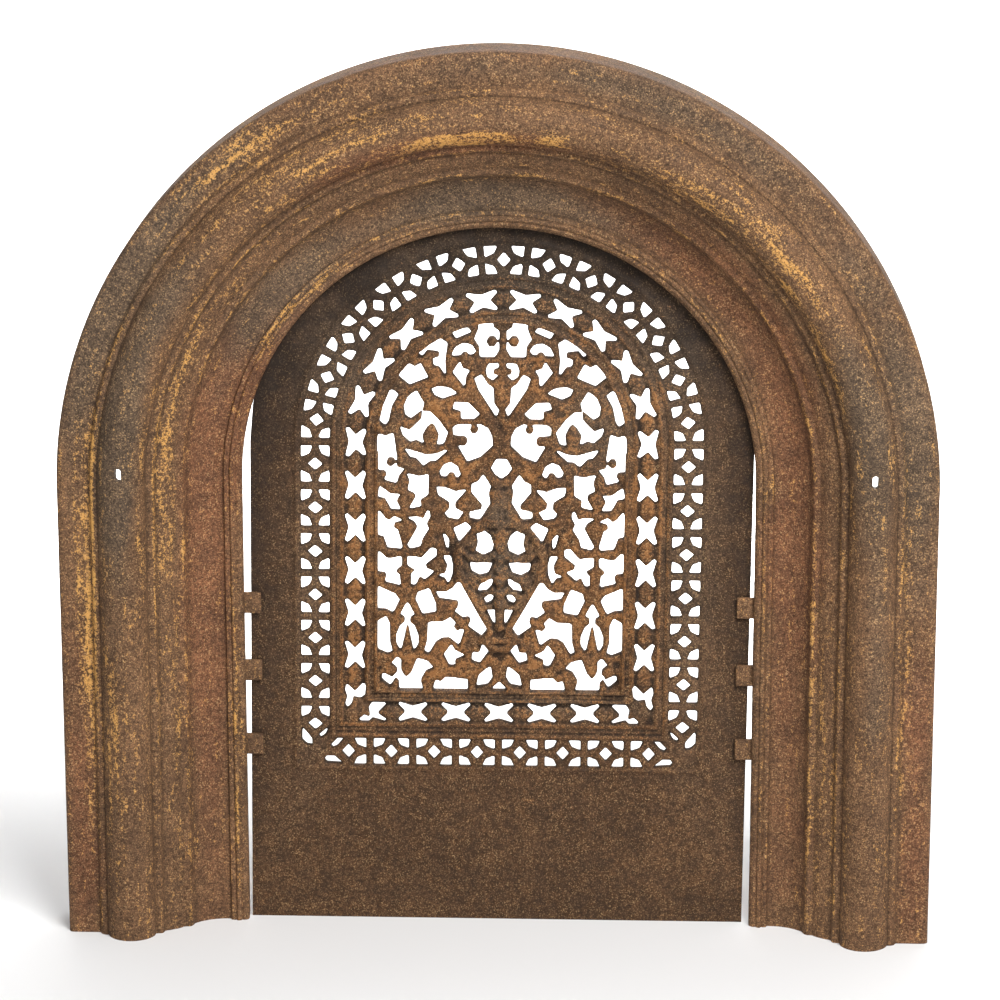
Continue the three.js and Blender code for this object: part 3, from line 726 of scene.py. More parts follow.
def make_surround_mesh(settings, material):
    """The surround, swept along its path and then given its lugs and screw slots."""
    front = even(front_outline(), FRONT_STEP)
    inside = even(rounded(INSIDE_CORNERS), INSIDE_STEP)
    # On a path that starts up the right leg, the section's x runs outwards and its y to the wall.
    section = [((p.x - OPENING_RADIUS) * MM, -p.y * MM, 0.0) for p in [*front, *inside]]
    path = [(x * MM, REVEAL_Y * MM, z * MM) for x, z in path_points(settings)]
    surround = sweep("surround_casting", path, section, material)
    lugs = []
    cutters = []
    for side in (-1, 1):
        for height in LUG_HEIGHTS:
            reach, thick, tall = LUG_SIZE
            ends = sorted((side * (OPENING_RADIUS - reach), side * (OPENING_RADIUS + LUG_ROOT)))
            low = (ends[0], REVEAL_Y - thick, height - tall / 2)
            high = (ends[1], REVEAL_Y - LUG_SETBACK, height + tall / 2)
            lugs.append(block("lug", low, high, LUG_ROUNDING))
        wide, tall = SLOT_SIZE
        low = (side * TORUS_CENTRE[0] - wide / 2, REVEAL_Y - SLOT_DEPTH, SLOT_HEIGHT - tall / 2)
        high = (side * TORUS_CENTRE[0] + wide / 2, REVEAL_Y, SLOT_HEIGHT + tall / 2)
        cutters.append(block("slot", low, high, wide * SLOT_ROUNDING, 4))
    surround = combine(surround, merge_blocks("lugs", lugs), "UNION")
    surround = combine(surround, merge_blocks("slots", cutters), "DIFFERENCE")
    finish_surround(surround.data, front, settings)
    return surround


def finish_surround(mesh, front, settings):
    """Lets the cast face wander a little and stores what the material needs."""
    places = coordinates(mesh)
    radius = radius_along(places)
    depth = REVEAL_Y - places[:, 1] / MM
    steps, run, ridge = section_run(front)
    shown = np.interp(radius, steps, run)
    on_front = np.clip(1 - (shown - depth) / FRONT_FADE, 0, 1) * np.clip(depth / EDGE_FADE, 0, 1)
    flat_foot = np.clip(places[:, 2] / FLAT_FOOT, 0, 1)
    long = wander(places, LONG_WAVES, settings.seed)
    short = wander(places, SHORT_WAVES, settings.seed + 1)
    places[:, 1] += settings.unevenness * on_front * (long + SHORT_WAVE_SHARE * short)
    side = settings.unevenness * flat_foot * wander(places, SIDE_WAVES, settings.seed + 2)
    inner = np.clip((OUTER_RADIUS - radius) / RIM_FADE, 0, 1)
    places[:, 0] += side * inner * np.sign(places[:, 0])
    set_coordinates(mesh, places)
    store(mesh, "ridge", np.clip(np.interp(radius, steps, ridge) / RIDGE_FULL, -1, 1) * on_front)
    around = distance_round(places)
    for name, table in (("worn", WORN_PATCHES), ("red", RED_PATCHES), ("grey", GREY_PATCHES)):
        store(mesh, name, patches(around, radius, table))
    store(mesh, "around", around * MM)
    store(mesh, "radius", radius * MM)


# Cover


def upright(x, z):
    """Where a point of the leaning plate is in the upright pattern, in mm."""
    return x - COVER_OFFSET - COVER_LEAN * z, z


def leaning(x, z):
    """Where a point of the upright pattern is on the leaning plate, in mm."""
    return x + COVER_OFFSET + COVER_LEAN * z, z


def back_loops(node):
    """The outlines on a CAD plate's back as upright [x, z] in mm, the plate's own one first."""
    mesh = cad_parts[node].data
    places = coordinates(mesh) / MM
    back = places[:, 1].max()
    keys = [tuple(np.round(p, 3)) for p in places]
    uses = {}
    for face in mesh.polygons:
        corners = [keys[v] for v in face.vertices]
        if min(c[1] for c in corners) < back - 0.01:
            continue
        for a, b in zip(corners, corners[1:] + corners[:1]):
            edge = frozenset((a, b))
            uses[edge] = uses.get(edge, 0) + 1
    nexts = {}
    for edge, count in uses.items():
        if count == 1:
            a, b = tuple(edge)
            nexts.setdefault(a, []).append(b)
            nexts.setdefault(b, []).append(a)
    loops = []
    left = set(nexts)
    while left:
        start = min(left)
        loop = [start]
        left.discard(start)
        here = start
        while True:
            onward = [p for p in nexts[here] if p in left]
            if not onward:
                break
            here = onward[0]
            left.discard(here)
            loop.append(here)
        loops.append(np.array([upright(x, z) for x, _, z in loop]))
    loops.sort(key=lambda loop: -np.ptp(loop[:, 0]))
    return loops


def arch_distance(x, z, radius, foot):
    """How far points are outside an arch-headed outline with square feet. Inside it is negative."""
    over = np.maximum(z - PATTERN_SPRING, 0.0)
    return np.maximum(np.hypot(x, over) - radius, foot - z)


def within(x, z, radius, foot):
    """1 inside an arch-headed outline, falling softly to 0 at its edge."""
    return np.clip(-arch_distance(x, z, radius, foot) / PATTERN_BORDER, 0, 1)


def inside_test(x, z, loops):
    """Whether each point is inside an odd number of loops."""
    inside = np.zeros(x.shape, bool)
    for loop in loops:
        low, high = loop.min(0), loop.max(0)
        near = (x > low[0] - 1) & (z >= low[1]) & (z <= high[1]) & (x < high[0] + 1)
        if not near.any():
            continue
        px, pz = x[near], z[near]
        odd = np.zeros(px.shape, bool)
        for (ax, az), (bx, bz) in zip(loop, np.roll(loop, -1, 0)):
            if az == bz:
                continue
            crosses = (az > pz) != (bz > pz)
            odd ^= crosses & (px < (bx - ax) * (pz - az) / (bz - az) + ax)
        inside[near] ^= odd
    return inside


def hole_distance(x, z, holes, reach=9.0):
    """Distance from each grid point to the nearest hole's edge in mm, positive in the metal."""
    nearest = np.full(x.shape, reach)
    first_x, first_z = x[0, 0], z[0, 0]
    pitch = x[0, 1] - x[0, 0]
    for loop in holes:
        for a, b in zip(loop, np.roll(loop, -1, 0)):
            low = (np.minimum(a, b) - reach - (first_x, first_z)) / pitch
            high = (np.maximum(a, b) + reach - (first_x, first_z)) / pitch
            i0, j0 = max(int(low[0]), 0), max(int(low[1]), 0)
            i1, j1 = max(int(high[0]) + 2, 0), max(int(high[1]) + 2, 0)
            px, pz = x[j0:j1, i0:i1] - a[0], z[j0:j1, i0:i1] - a[1]
            if not px.size:
                continue
            run = b - a
            t = np.clip((px * run[0] + pz * run[1]) / max(run @ run, 1e-9), 0, 1)
            gap = np.hypot(px - t * run[0], pz - t * run[1])
            np.minimum(nearest[j0:j1, i0:i1], gap, out=nearest[j0:j1, i0:i1])
    return np.where(inside_test(x, z, holes), -nearest, nearest)


def blurred(field, sigma):
    """The field smoothed by a small round kernel, sigma in grid steps."""
    reach = max(1, math.ceil(sigma * 2.5))
    offsets = np.arange(-reach, reach + 1)
    kernel = np.exp(-0.5 * (offsets / sigma) ** 2)
    kernel /= kernel.sum()
    for axis in (0, 1):
        padded = np.pad(field, [(reach, reach) if a == axis else (0, 0) for a in (0, 1)], mode="edge")
        field = sum(
            k * np.take(padded, np.arange(field.shape[axis]) + reach + o, axis)
            for k, o in zip(kernel, offsets)
        )
    return field


def bump(distance, width):
    """A round-topped ridge: 1 on the line, 0 at half the width."""
    return np.sqrt(np.clip(1 - (distance * 2 / width) ** 2, 0, 1))


def quarter_round(share):
    """A quarter circle's rise over its run, from 0 to 1."""
    return np.sqrt(np.clip(1 - (1 - np.clip(share, 0, 1)) ** 2, 0, 1))


def along_arch(x, z):
    """How far round an arch-headed line a point is, in mm at the cross band's radius."""
    over = z - PATTERN_SPRING
    angle = np.arctan2(x, np.maximum(over, 1e-6))
    in_arch = CROSS_BAND_RADIUS * angle
    down = np.sign(x) * (CROSS_BAND_RADIUS * math.pi / 2 + (PATTERN_SPRING - z))
    return np.where(over > 0, in_arch, down)


def pattern_rise(x, z):
    """Height of the pattern's raised parts over the plate, in mm, without the stems' own roundness."""
    rise = np.zeros(x.shape)
    for radius, foot, width, height in RIDGES:
        rise = np.maximum(rise, height * bump(arch_distance(x, z, radius, foot), width))
    rise += raised_frame(x, z)
    for centre_x, centre_z, turn in rosette_places():
        rise = np.maximum(rise, rosette(x - centre_x, z - centre_z, turn))
    for across, height, radius in SCROLL_EYES:
        for side in (-1, 1):
            gap = np.hypot(x - side * across, z - height)
            rise = np.maximum(rise, SCROLL_EYE_RISE * bump(gap, radius * SCROLL_EYE_WIDTH))
    return np.maximum(rise, urn_rise(x, z))


def raised_frame(x, z):
    """The field's raised frame: a low step with a row of ticks between its two ridges."""
    outside = arch_distance(x, z, *FRAME_LINE)
    step = np.clip((FRAME_HALF_WIDTH - np.abs(outside)) / FRAME_EDGE, 0, 1) * FRAME_RISE
    low_row = (z < FRAME_LOW_ROW[1]) & (np.abs(x) < FRAME_LOW_ROW[0])
    run = np.where(low_row, x, along_arch(x, z))
    ticks = np.clip(np.cos(run * 2 * math.pi / TICK_PITCH), 0, 1) * bump(outside, TICK_WIDTH)
    return step + ticks * TICK_RISE


def rosette_places():
    """Middle and turn of the small square rosettes between the crosses."""
    places = []
    for unit in range(CROSS_ARCH_UNITS):
        angle = math.pi * (unit + 0.5) / CROSS_ARCH_UNITS
        x = CROSS_BAND_RADIUS * math.cos(angle)
        places.append((x, PATTERN_SPRING + CROSS_BAND_RADIUS * math.sin(angle), angle))
    for row in range(CROSS_ROWS + 1):
        height = PATTERN_SPRING - (row + 0.5) * CROSS_ROW_PITCH
        places.extend((side * CROSS_BAND_RADIUS, height, 0.0) for side in (-1, 1))
    for column in CROSS_COLUMNS:
        places.append((column * CROSS_COLUMN_PITCH, CROSS_BAND_FOOT, 0.0))
    return places


def rosette(x, z, turn):
    """Four round petals and a pip."""
    rise = ROSETTE_PIP[1] * bump(np.hypot(x, z), ROSETTE_PIP[0])
    for i in range(4):
        angle = turn + math.pi / 4 + i * math.pi / 2
        gap = np.hypot(x - ROSETTE_REACH * math.cos(angle), z - ROSETTE_REACH * math.sin(angle))
        rise = np.maximum(rise, ROSETTE_PETAL[1] * bump(gap, ROSETTE_PETAL[0]))
    return rise


def urn_rise(x, z):
    """The urn: a rounded rim down both flanks, a middle stem, a sunk ground between them and rings."""
    heights, halves = np.array(URN_OUTLINE)[::-1].T
    half = np.interp(z, heights, halves, left=0.0, right=0.0)
    inset = (half - np.abs(x)) * URN_FLANK_SLOPE
    inside = (half > 0) & (inset > -1)
    turned = np.sqrt(np.clip(1 - (x / np.maximum(half, 1)) ** 2, 0, 1))
    ground = URN_GROUND[0] + URN_GROUND[1] * turned
    rim = URN_BASE + URN_ROUND_RISE * bump(inset - URN_RIM_INSET, URN_RIM_WIDTH)
    stem = URN_BASE + URN_ROUND_RISE * bump(x, URN_STEM_WIDTH) * (z > URN_STEM_FOOT)
    neck = URN_NECK[0] + URN_NECK[1] * turned * (z > URN_NECK_FOOT)
    body = np.maximum(np.maximum(ground, rim), np.maximum(stem, neck))
    waves = np.cos((z - np.abs(x) * URN_VEIN_SLOPE) * 2 * math.pi / URN_VEIN_PITCH)
    veins = URN_VEIN_RISE * waves * (z < URN_VEIN_TOP) * (inset > URN_VEIN_INSET)
    rise = np.where(inside, body + veins, 0.0)
    for height, reach in URN_RINGS:
        across = np.sqrt(np.clip(1 - (x / reach) ** 2, 0, 1))
        rise = np.maximum(rise, URN_RING_RISE * bump(z - height, URN_RING_WIDTH) * across)
    return rise


def clipped_cells(level):
    """The region where level is positive as polygons on a grid, sharing their corners.

    Returns the corners as grid coordinates [column, row], the polygons and the outline's edges."""
    corners = []
    numbers = {}

    def grid_corner(j, i):
        key = (j, i)
        if key not in numbers:
            numbers[key] = len(corners)
            corners.append((float(i), float(j)))
        return numbers[key]

    def crossing(j0, i0, j1, i1):
        key = (j0, i0, j1, i1) if (j0, i0) < (j1, i1) else (j1, i1, j0, i0)
        if key not in numbers:
            ja, ia, jb, ib = key
            va, vb = level[ja, ia], level[jb, ib]
            t = min(max(va / (va - vb), CORNER_GAP), 1 - CORNER_GAP)
            numbers[key] = len(corners)
            corners.append((ia + (ib - ia) * t, ja + (jb - ja) * t))
        return numbers[key]

    solid = level > 0
    count = solid[:-1, :-1].astype(int) + solid[:-1, 1:] + solid[1:, 1:] + solid[1:, :-1]
    polygons = []
    edges = []
    for j, i in np.argwhere(count > 0):
        ring = ((j, i), (j, i + 1), (j + 1, i + 1), (j + 1, i))
        if count[j, i] == 4:
            polygons.append([grid_corner(*c) for c in ring])
            continue
        flags = [bool(solid[c]) for c in ring]
        opposite = flags in ([True, False, True, False], [False, True, False, True])
        joined = level[j : j + 2, i : i + 2].mean() > 0
        if opposite and not joined:
            for k in range(4):
                if flags[k]:
                    a, b, c = ring[k - 1], ring[k], ring[(k + 1) % 4]
                    into, out = crossing(*a, *b), crossing(*b, *c)
                    polygons.append([into, grid_corner(*b), out])
                    edges.append((out, into))
            continue
        polygon = []
        exits = []
        for k in range(4):
            a, b = ring[k], ring[(k + 1) % 4]
            if flags[k]:
                polygon.append(grid_corner(*a))
            if flags[k] != flags[(k + 1) % 4]:
                polygon.append(crossing(*a, *b))
                exits.append((len(polygon) - 1, flags[k]))
        for place, leaving in exits:
            if leaving:
                edges.append((polygon[place], polygon[(place + 1) % len(polygon)]))
        polygons.append(polygon)
    return np.array(corners), polygons, edges


def triangulated(points, edges):
    """Triangles over the points with the edges kept."""
    result = geometry.delaunay_2d_cdt(
        [Vector(p) for p in points], [tuple(int(v) for v in e) for e in edges], [], 0, 1e-7, True
    )
    if len(result[0]) != len(points):
        raise RuntimeError("the cover's outlines touch each other")
    original = [ids[0] for ids in result[3]]
    return np.array([[original[v] for v in face] for face in result[2]])


def loop_edges(start, count):
    """The closed run of edges through count points from start."""
    return [(start + i, start + (i + 1) % count) for i in range(count)]


def cover_region(loops, settings):
    """The pierced pattern's corners [x, z] in mm, polygons, outline edges, heights and attributes."""
    pitch = settings.cover_pitch / MM
    half = PATTERN_RADIUS + 3 * pitch
    xs = np.arange(-half, half + pitch, pitch)
    zs = np.arange(PATTERN_FOOT - 3 * pitch, PATTERN_SPRING + half + pitch, pitch)
    x, z = np.meshgrid(xs, zs)
    metal = hole_distance(x, z + settings.hole_drop / MM, loops[1:])
    in_field = within(x, z, CROSS_BAND_RADIUS - FIELD_INSET[0], CROSS_BAND_FOOT + FIELD_INSET[1])
    metal = blurred(metal, EDGE_BLUR) - settings.hole_growth / MM - FIELD_GROWTH * in_field
    level = np.minimum(metal, -arch_distance(x, z, PATTERN_RADIUS, PATTERN_FOOT))
    corners, polygons, edges = clipped_cells(level)
    lip = (1 - quarter_round(metal / (settings.lip / MM))) * settings.lip / MM
    share = PLAIN_SHARE + (1 - PLAIN_SHARE) * in_field
    roundness = share * settings.dome / MM * quarter_round(metal / STEM_HALF_WIDTH)
    grid = np.column_stack([x.ravel(), np.zeros(x.size), z.ravel()]) * MM
    large, small = (wander(grid, 1 / size, settings.seed) for size in LEAF_SIZES)
    leafy = (large + SMALL_LEAF_SHARE * small).reshape(x.shape)
    leafy = leafy * np.clip(metal / LEAF_START, 0, 1) * (PLAIN_SHARE + in_field)
    height = blurred(pattern_rise(x, z), RISE_BLUR) + roundness - lip + LEAF_RISE * leafy
    border = within(x, z, PATTERN_RADIUS, PATTERN_FOOT)
    height *= border

    def sample(field):
        column = np.clip(corners[:, 0], 0, field.shape[1] - 1.001)
        row = np.clip(corners[:, 1], 0, field.shape[0] - 1.001)
        i, j = column.astype(int), row.astype(int)
        u, v = column - i, row - j
        return (
            field[j, i] * (1 - u) * (1 - v)
            + field[j, i + 1] * u * (1 - v)
            + field[j + 1, i] * (1 - u) * v
            + field[j + 1, i + 1] * u * v
        )

    flat = np.stack([xs[0] + corners[:, 0] * pitch, zs[0] + corners[:, 1] * pitch], 1)
    # Relief over its smoothed run: below zero in the hollows, where shade is painted, above zero on the
    # crests, where highlight is painted
    relief = np.clip((height - blurred(height, RELIEF_REACH)) / RELIEF_FULL, -1, 1) * border
    return flat, polygons, edges, sample(height), sample(border), sample(relief)


def shade_and_soot_amount(x, z):
    """How much painted shade and soot each place of the upright cover has, from 0 to 1: deepest next to
    the opening's edge and reaching furthest in under the crown.
    """
    inset = OPENING_RADIUS - np.hypot(x, np.maximum(z - SPRING_HEIGHT, 0.0))
    high = np.clip((z - SHADE_AND_SOOT_START) / (SPRING_HEIGHT + OPENING_RADIUS - SHADE_AND_SOOT_START), 0, 1)
    reach = SHADE_AND_SOOT_REACH[1] + (SHADE_AND_SOOT_REACH[0] - SHADE_AND_SOOT_REACH[1]) * high**2
    amount = SHADE_AND_SOOT_AMOUNT[1] + (SHADE_AND_SOOT_AMOUNT[0] - SHADE_AND_SOOT_AMOUNT[1]) * high
    return amount * np.clip(z / SHADE_AND_SOOT_FADE, 0.3, 1) * np.exp(-((np.maximum(inset, 0) / reach) ** 2))


def make_cover_mesh(settings, material):
    """The cover: the pattern as fine relief, plain margins, a flat back and the holes' walls."""
    loops = back_loops("summer_cover")
    outline = loops[0]
    flat, polygons, edges, height, border, relief = cover_region(loops, settings)
    used = sorted({v for edge in edges for v in edge})
    order = {v: n for n, v in enumerate(used)}
    rim = arch_distance(flat[used, 0], flat[used, 1], PATTERN_RADIUS, PATTERN_FOOT)
    on_rim = {v for v, r in zip(used, rim) if r > -settings.cover_pitch / MM * RIM_STEPS}
    hole_edges = [e for e in edges if not (e[0] in on_rim and e[1] in on_rim)]
    rim_edges = [e for e in edges if e[0] in on_rim and e[1] in on_rim]

    edge_points = flat[used]
    outline_start = len(edge_points)
    back_points = np.concatenate([edge_points, outline])
    outline_edges = loop_edges(outline_start, len(outline))
    hole_pairs = [(order[a], order[b]) for a, b in hole_edges]
    rim_pairs = [(order[a], order[b]) for a, b in rim_edges]
    triangles = triangulated(back_points, [*hole_pairs, *rim_pairs, *outline_edges])
    middle = back_points[triangles].mean(1)
    in_plate = inside_test(middle[:, 0], middle[:, 1], [outline])
    back_faces = triangles[in_plate & ~segments_inside(middle, back_points, hole_pairs)]
    margin_faces = triangles[in_plate & ~segments_inside(middle, back_points, rim_pairs)]

    front_y = COVER_BACK_Y - COVER_THICKNESS
    count = len(flat)
    front_places = np.column_stack([flat[:, 0], front_y - height, flat[:, 1]])
    outline_front = np.column_stack([outline[:, 0], np.full(len(outline), front_y), outline[:, 1]])
    back_y = np.full(len(back_points), COVER_BACK_Y)
    back_places = np.column_stack([back_points[:, 0], back_y, back_points[:, 1]])
    places = np.concatenate([front_places, outline_front, back_places])
    front_of = np.array([*used, *range(count, count + len(outline))])
    back_of = count + len(outline) + np.arange(len(back_points))

    faces = [list(polygon) for polygon in polygons]
    faces += [[int(front_of[v]) for v in tri] for tri in margin_faces]
    faces += [[int(back_of[v]) for v in tri][::-1] for tri in back_faces]
    for a, b in [*hole_pairs, *outline_edges]:
        faces.append([int(front_of[a]), int(front_of[b]), int(back_of[b]), int(back_of[a])])

    lean_x, lean_z = leaning(places[:, 0], places[:, 2])
    world = np.column_stack([lean_x, places[:, 1], lean_z]) * MM
    mesh = bpy.data.meshes.new("cover_casting")
    mesh.from_pydata(world.tolist(), [], faces)
    mesh.materials.append(material)
    face_outwards(mesh)
    x, z = flat.T
    inner = within(x, z, *INNER_PATTERN)
    for name, values in (
        ("raised", relief),
        ("pattern", border * (OUTER_BAND_SHARE + (1 - OUTER_BAND_SHARE) * inner)),
        ("worn", patches(x, z, COVER_PATCHES)),
        ("thin", patches(x, z, COVER_THIN_PATCHES)),
    ):
        store(mesh, name, np.pad(values, (0, len(places) - count)))
    # Painted shade and soot next to the opening's edge
    store(mesh, "soot", shade_and_soot_amount(places[:, 0], places[:, 2]))
    return link(bpy.data.objects.new("cover_casting", mesh))


def segments_inside(places, points, pairs):
    """Whether each place is inside the loops that the pairs of points make."""
    odd = np.zeros(len(places), bool)
    order = np.argsort(places[:, 1])
    height = places[order, 1]
    across = places[order, 0]
    for a, b in pairs:
        (ax, az), (bx, bz) = points[a], points[b]
        if az == bz:
            continue
        low, high = np.searchsorted(height, (min(az, bz), max(az, bz)))
        part = slice(low, high)
        crosses = across[part] < (bx - ax) * (height[part] - az) / (bz - az) + ax
        odd[order[part]] ^= crosses
    return odd


# Materials


class Shader:
    """Short ways to build a node tree."""

    def __init__(self, tree):
        self.tree = tree

    def add(self, kind, **settings):
        node = self.tree.nodes.new(kind)
        for name, value in settings.items():
            setattr(node, name, value)
        return node

    def put(self, socket, value):
        if isinstance(value, bpy.types.NodeSocket):
            self.tree.links.new(value, socket)
        elif socket.type == "RGBA":
            socket.default_value = (*tuple(value)[:3], 1.0)
        else:
            socket.default_value = value

    def noise(self, place, scale, detail, rough, distortion=0.0):
        node = self.add("ShaderNodeTexNoise")
        self.put(node.inputs["Vector"], place)
        node.inputs["Scale"].default_value = scale
        node.inputs["Detail"].default_value = detail
        node.inputs["Roughness"].default_value = rough
        node.inputs["Distortion"].default_value = distortion
        return node.outputs["Fac"]

    def step(self, value, low, high, start=0.0, end=1.0):
        node = self.add("ShaderNodeMapRange", interpolation_type="SMOOTHSTEP")
        self.put(node.inputs["Value"], value)
        for name, number in (("From Min", low), ("From Max", high), ("To Min", start), ("To Max", end)):
            self.put(node.inputs[name], number)
        return node.outputs["Result"]

    def maths(self, operation, a, b):
        node = self.add("ShaderNodeMath", operation=operation)
        self.put(node.inputs[0], a)
        self.put(node.inputs[1], b)
        return node.outputs["Value"]

    def times(self, a, b):
        return self.maths("MULTIPLY", a, b)

    def plus(self, a, b):
        return self.maths("ADD", a, b)

    def mix(self, amount, a, b):
        node = self.add("ShaderNodeMix", data_type="RGBA")
        self.put(node.inputs[0], amount)
        self.put(node.inputs[6], a)
        self.put(node.inputs[7], b)
        return node.outputs[2]

    def scaled(self, vector, amount):
        node = self.add("ShaderNodeVectorMath", operation="SCALE")
        self.put(node.inputs[0], vector)
        self.put(node.inputs["Scale"], amount)
        return node.outputs[0]

    def attribute(self, name):
        return self.add("ShaderNodeAttribute", attribute_name=name).outputs["Fac"]

    def moved(self, place, shift):
        node = self.add("ShaderNodeVectorMath", operation="ADD")
        self.put(node.inputs[0], place)
        node.inputs[1].default_value = shift
        return node.outputs[0]


def rust_group():
    """Rust that both castings share: blotches, grain, flecks and pits over a colour, darkened by painted
    shade, and on the cover by soot too.
    """
    tree = bpy.data.node_groups.new("old_rust", "ShaderNodeTree")
    kinds = {"Place": "Vector", "Streak": "Vector"}
    kinds.update(dict.fromkeys(("Colour", "Bright", "Pale", "Dark"), "Color"))
    new_sockets(tree, "INPUT", {**kinds, "Brightness": "Float", "Grime": "Float"})
    new_sockets(tree, "OUTPUT", {"Colour": "Color", "Roughness": "Float", "Height": "Float"})
    make = Shader(tree)
    given = make.add("NodeGroupInput").outputs
    result = make.add("NodeGroupOutput").inputs
    noises = {}
    for name, (shift, *settings) in NOISES.items():
        noises[name] = make.noise(make.moved(given["Place"], shift), *settings)
    middle, fine, grain, pits = (noises[name] for name in ("middle", "fine", "grain", "pits"))
    streak = make.noise(given["Streak"], *STREAK_NOISE)

    light = 1.0
    for name, contrast in CONTRAST.items():
        light = make.times(light, make.step(noises[name], *contrast))
    toned = make.scaled(given["Colour"], light)
    # Painted shade, with soot on the cover, darkens the rust towards the dark colour and hides some
    # bright rust and flecks.
    shaded_and_sooted = make.mix(given["Grime"], toned, given["Dark"])
    free_of_shade_and_soot = make.maths("SUBTRACT", 1.0, make.times(given["Grime"], SHADE_AND_SOOT_COVER))
    # Bright rust breaks through where the streaks, the fine noise and the grain agree.
    agreed = given["Brightness"]
    for part, share in ((streak, STREAK_SHARE), (fine, SPECK_SHARE), (grain, SPECK_SHARE)):
        agreed = make.plus(agreed, make.times(part, share))
    lit = make.mix(make.times(make.step(agreed, *BRIGHT_STEP), free_of_shade_and_soot), shaded_and_sooted, given["Bright"])
    flecks = make.times(make.step(grain, *FLECK_STEP), make.step(middle, *FLECK_PATCHES))
    flecked = make.mix(make.times(flecks, free_of_shade_and_soot), lit, given["Pale"])
    pitted = make.mix(make.step(pits, *PIT_STEP), flecked, given["Dark"])
    make.put(result["Colour"], pitted)
    make.put(result["Roughness"], make.step(middle, *ROUGHNESS_STEP))
    height = 0.0
    for name, share in BUMP_SHARES.items():
        height = make.plus(height, make.times(noises[name], share))
    make.put(result["Height"], height)
    return tree


def rust_material(name, group, settings, bright, amounts):
    """A rusted iron material. amounts(make, place) gives the inputs of the rust group that vary."""
    material = bpy.data.materials.new(name)
    material.use_nodes = True
    make = Shader(material.node_tree)
    shader = material.node_tree.nodes["Principled BSDF"]
    place = make.add("ShaderNodeTexCoord").outputs["Object"]
    rust = make.add("ShaderNodeGroup", node_tree=group)
    varied = {"Place": place, "Bright": bright, "Pale": settings.pale, "Dark": settings.dark}
    varied.update(amounts(make, place))
    for socket, value in varied.items():
        make.put(rust.inputs[socket], value)
    make.put(shader.inputs["Base Color"], rust.outputs["Colour"])
    make.put(shader.inputs["Roughness"], rust.outputs["Roughness"])
    shader.inputs["Metallic"].default_value = 0.0
    shader.inputs["IOR"].default_value = IRON_IOR
    shader.inputs["Specular IOR Level"].default_value = IRON_SPECULAR
    bump_node = make.add("ShaderNodeBump")
    bump_node.inputs["Strength"].default_value = 1.0
    bump_node.inputs["Distance"].default_value = settings.pitting
    make.put(bump_node.inputs["Height"], rust.outputs["Height"])
    make.put(shader.inputs["Normal"], bump_node.outputs["Normal"])
    return material


def surround_amounts(settings):
    """Where the surround's rust is yellow, red and thin, with shade painted into its quirks and
    highlight onto its crests.
    """

    def amounts(make, place):
        ridge = make.attribute("ridge")
        blotches = make.noise(place, *SURROUND_BLOTCHES)
        red = make.step(make.plus(make.attribute("red"), blotches), *RED_STEP)
        grey = make.step(make.plus(make.attribute("grey"), blotches), *GREY_STEP)
        main = make.mix(red, settings.brown, settings.red)
        streak = make.add("ShaderNodeCombineXYZ")
        for axis, name, scale in zip("XY", ("around", "radius"), STREAK_SCALE):
            make.put(streak.inputs[axis], make.times(make.attribute(name), scale))
        worn = make.times(make.attribute("worn"), WORN_BRIGHTNESS)
        # Painted highlight, with yellow rust, on the mouldings' crests
        crest = make.times(make.maths("MAXIMUM", ridge, 0.0), CREST_RUST_AND_HIGHLIGHT)
        return {
            "Streak": streak.outputs["Vector"],
            "Colour": make.mix(grey, main, settings.grey),
            "Brightness": make.plus(worn, crest),
            # Painted shade in the quirks
            "Grime": make.step(ridge, *QUIRK_SHADE_STEP),
        }

    return amounts


def cover_amounts(settings):
    """Where the cover's rust is orange, with shade painted into its hollows and next to the opening's
    edge, soot there too, and highlight painted onto its crests.
    """

    def amounts(make, place):
        raised = make.attribute("raised")
        worn = make.attribute("worn")
        pattern = make.attribute("pattern")
        # Painted highlight, with orange rust, on the relief's crests
        high = make.times(make.step(raised, *COVER_HIGH_STEP), pattern)
        blotches = make.step(make.noise(place, *COVER_BLOTCHES), *COVER_BLOTCH_STEP)
        orange = make.plus(make.times(high, COVER_HIGH_ORANGE), make.times(worn, COVER_WORN_ORANGE))
        orange = make.plus(orange, make.times(pattern, blotches))
        main = make.mix(orange, settings.cover_brown, settings.cover_orange)
        thin = make.times(make.attribute("thin"), COVER_THIN_GREY)
        brightness = make.times(worn, COVER_WORN_BRIGHTNESS)
        brightness = make.plus(brightness, make.times(high, COVER_CREST_RUST_AND_HIGHLIGHT))
        brightness = make.plus(brightness, make.times(pattern, PLATE_DULLNESS))
        # Painted shade in the relief's hollows
        low = make.step(raised, *COVER_HOLLOW_SHADE_STEP)
        # Painted shade and soot next to the opening's edge, broken into patches by noise
        uneven = make.noise(make.moved(place, SHADE_AND_SOOT_SHIFT), *SHADE_AND_SOOT_NOISE)
        shaded_and_sooty = make.times(make.attribute("soot"), make.step(uneven, *SHADE_AND_SOOT_PATCH_STEP))
        return {
            "Streak": make.scaled(place, COVER_STREAK_SCALE),
            "Colour": make.mix(thin, main, settings.grey),
            "Brightness": make.maths("SUBTRACT", brightness, PLATE_DULLNESS),
            "Grime": make.maths("MAXIMUM", low, shaded_and_sooty),
        }

    return amounts


def shared_rust_group():
    return bpy.data.node_groups.get("old_rust") or rust_group()


def shade_smooth(mesh, degrees):
    """Smooth shading with the sharp corners kept."""
    mesh.shade_smooth()
    mesh.set_sharp_from_angle(angle=math.radians(degrees))


# Operators


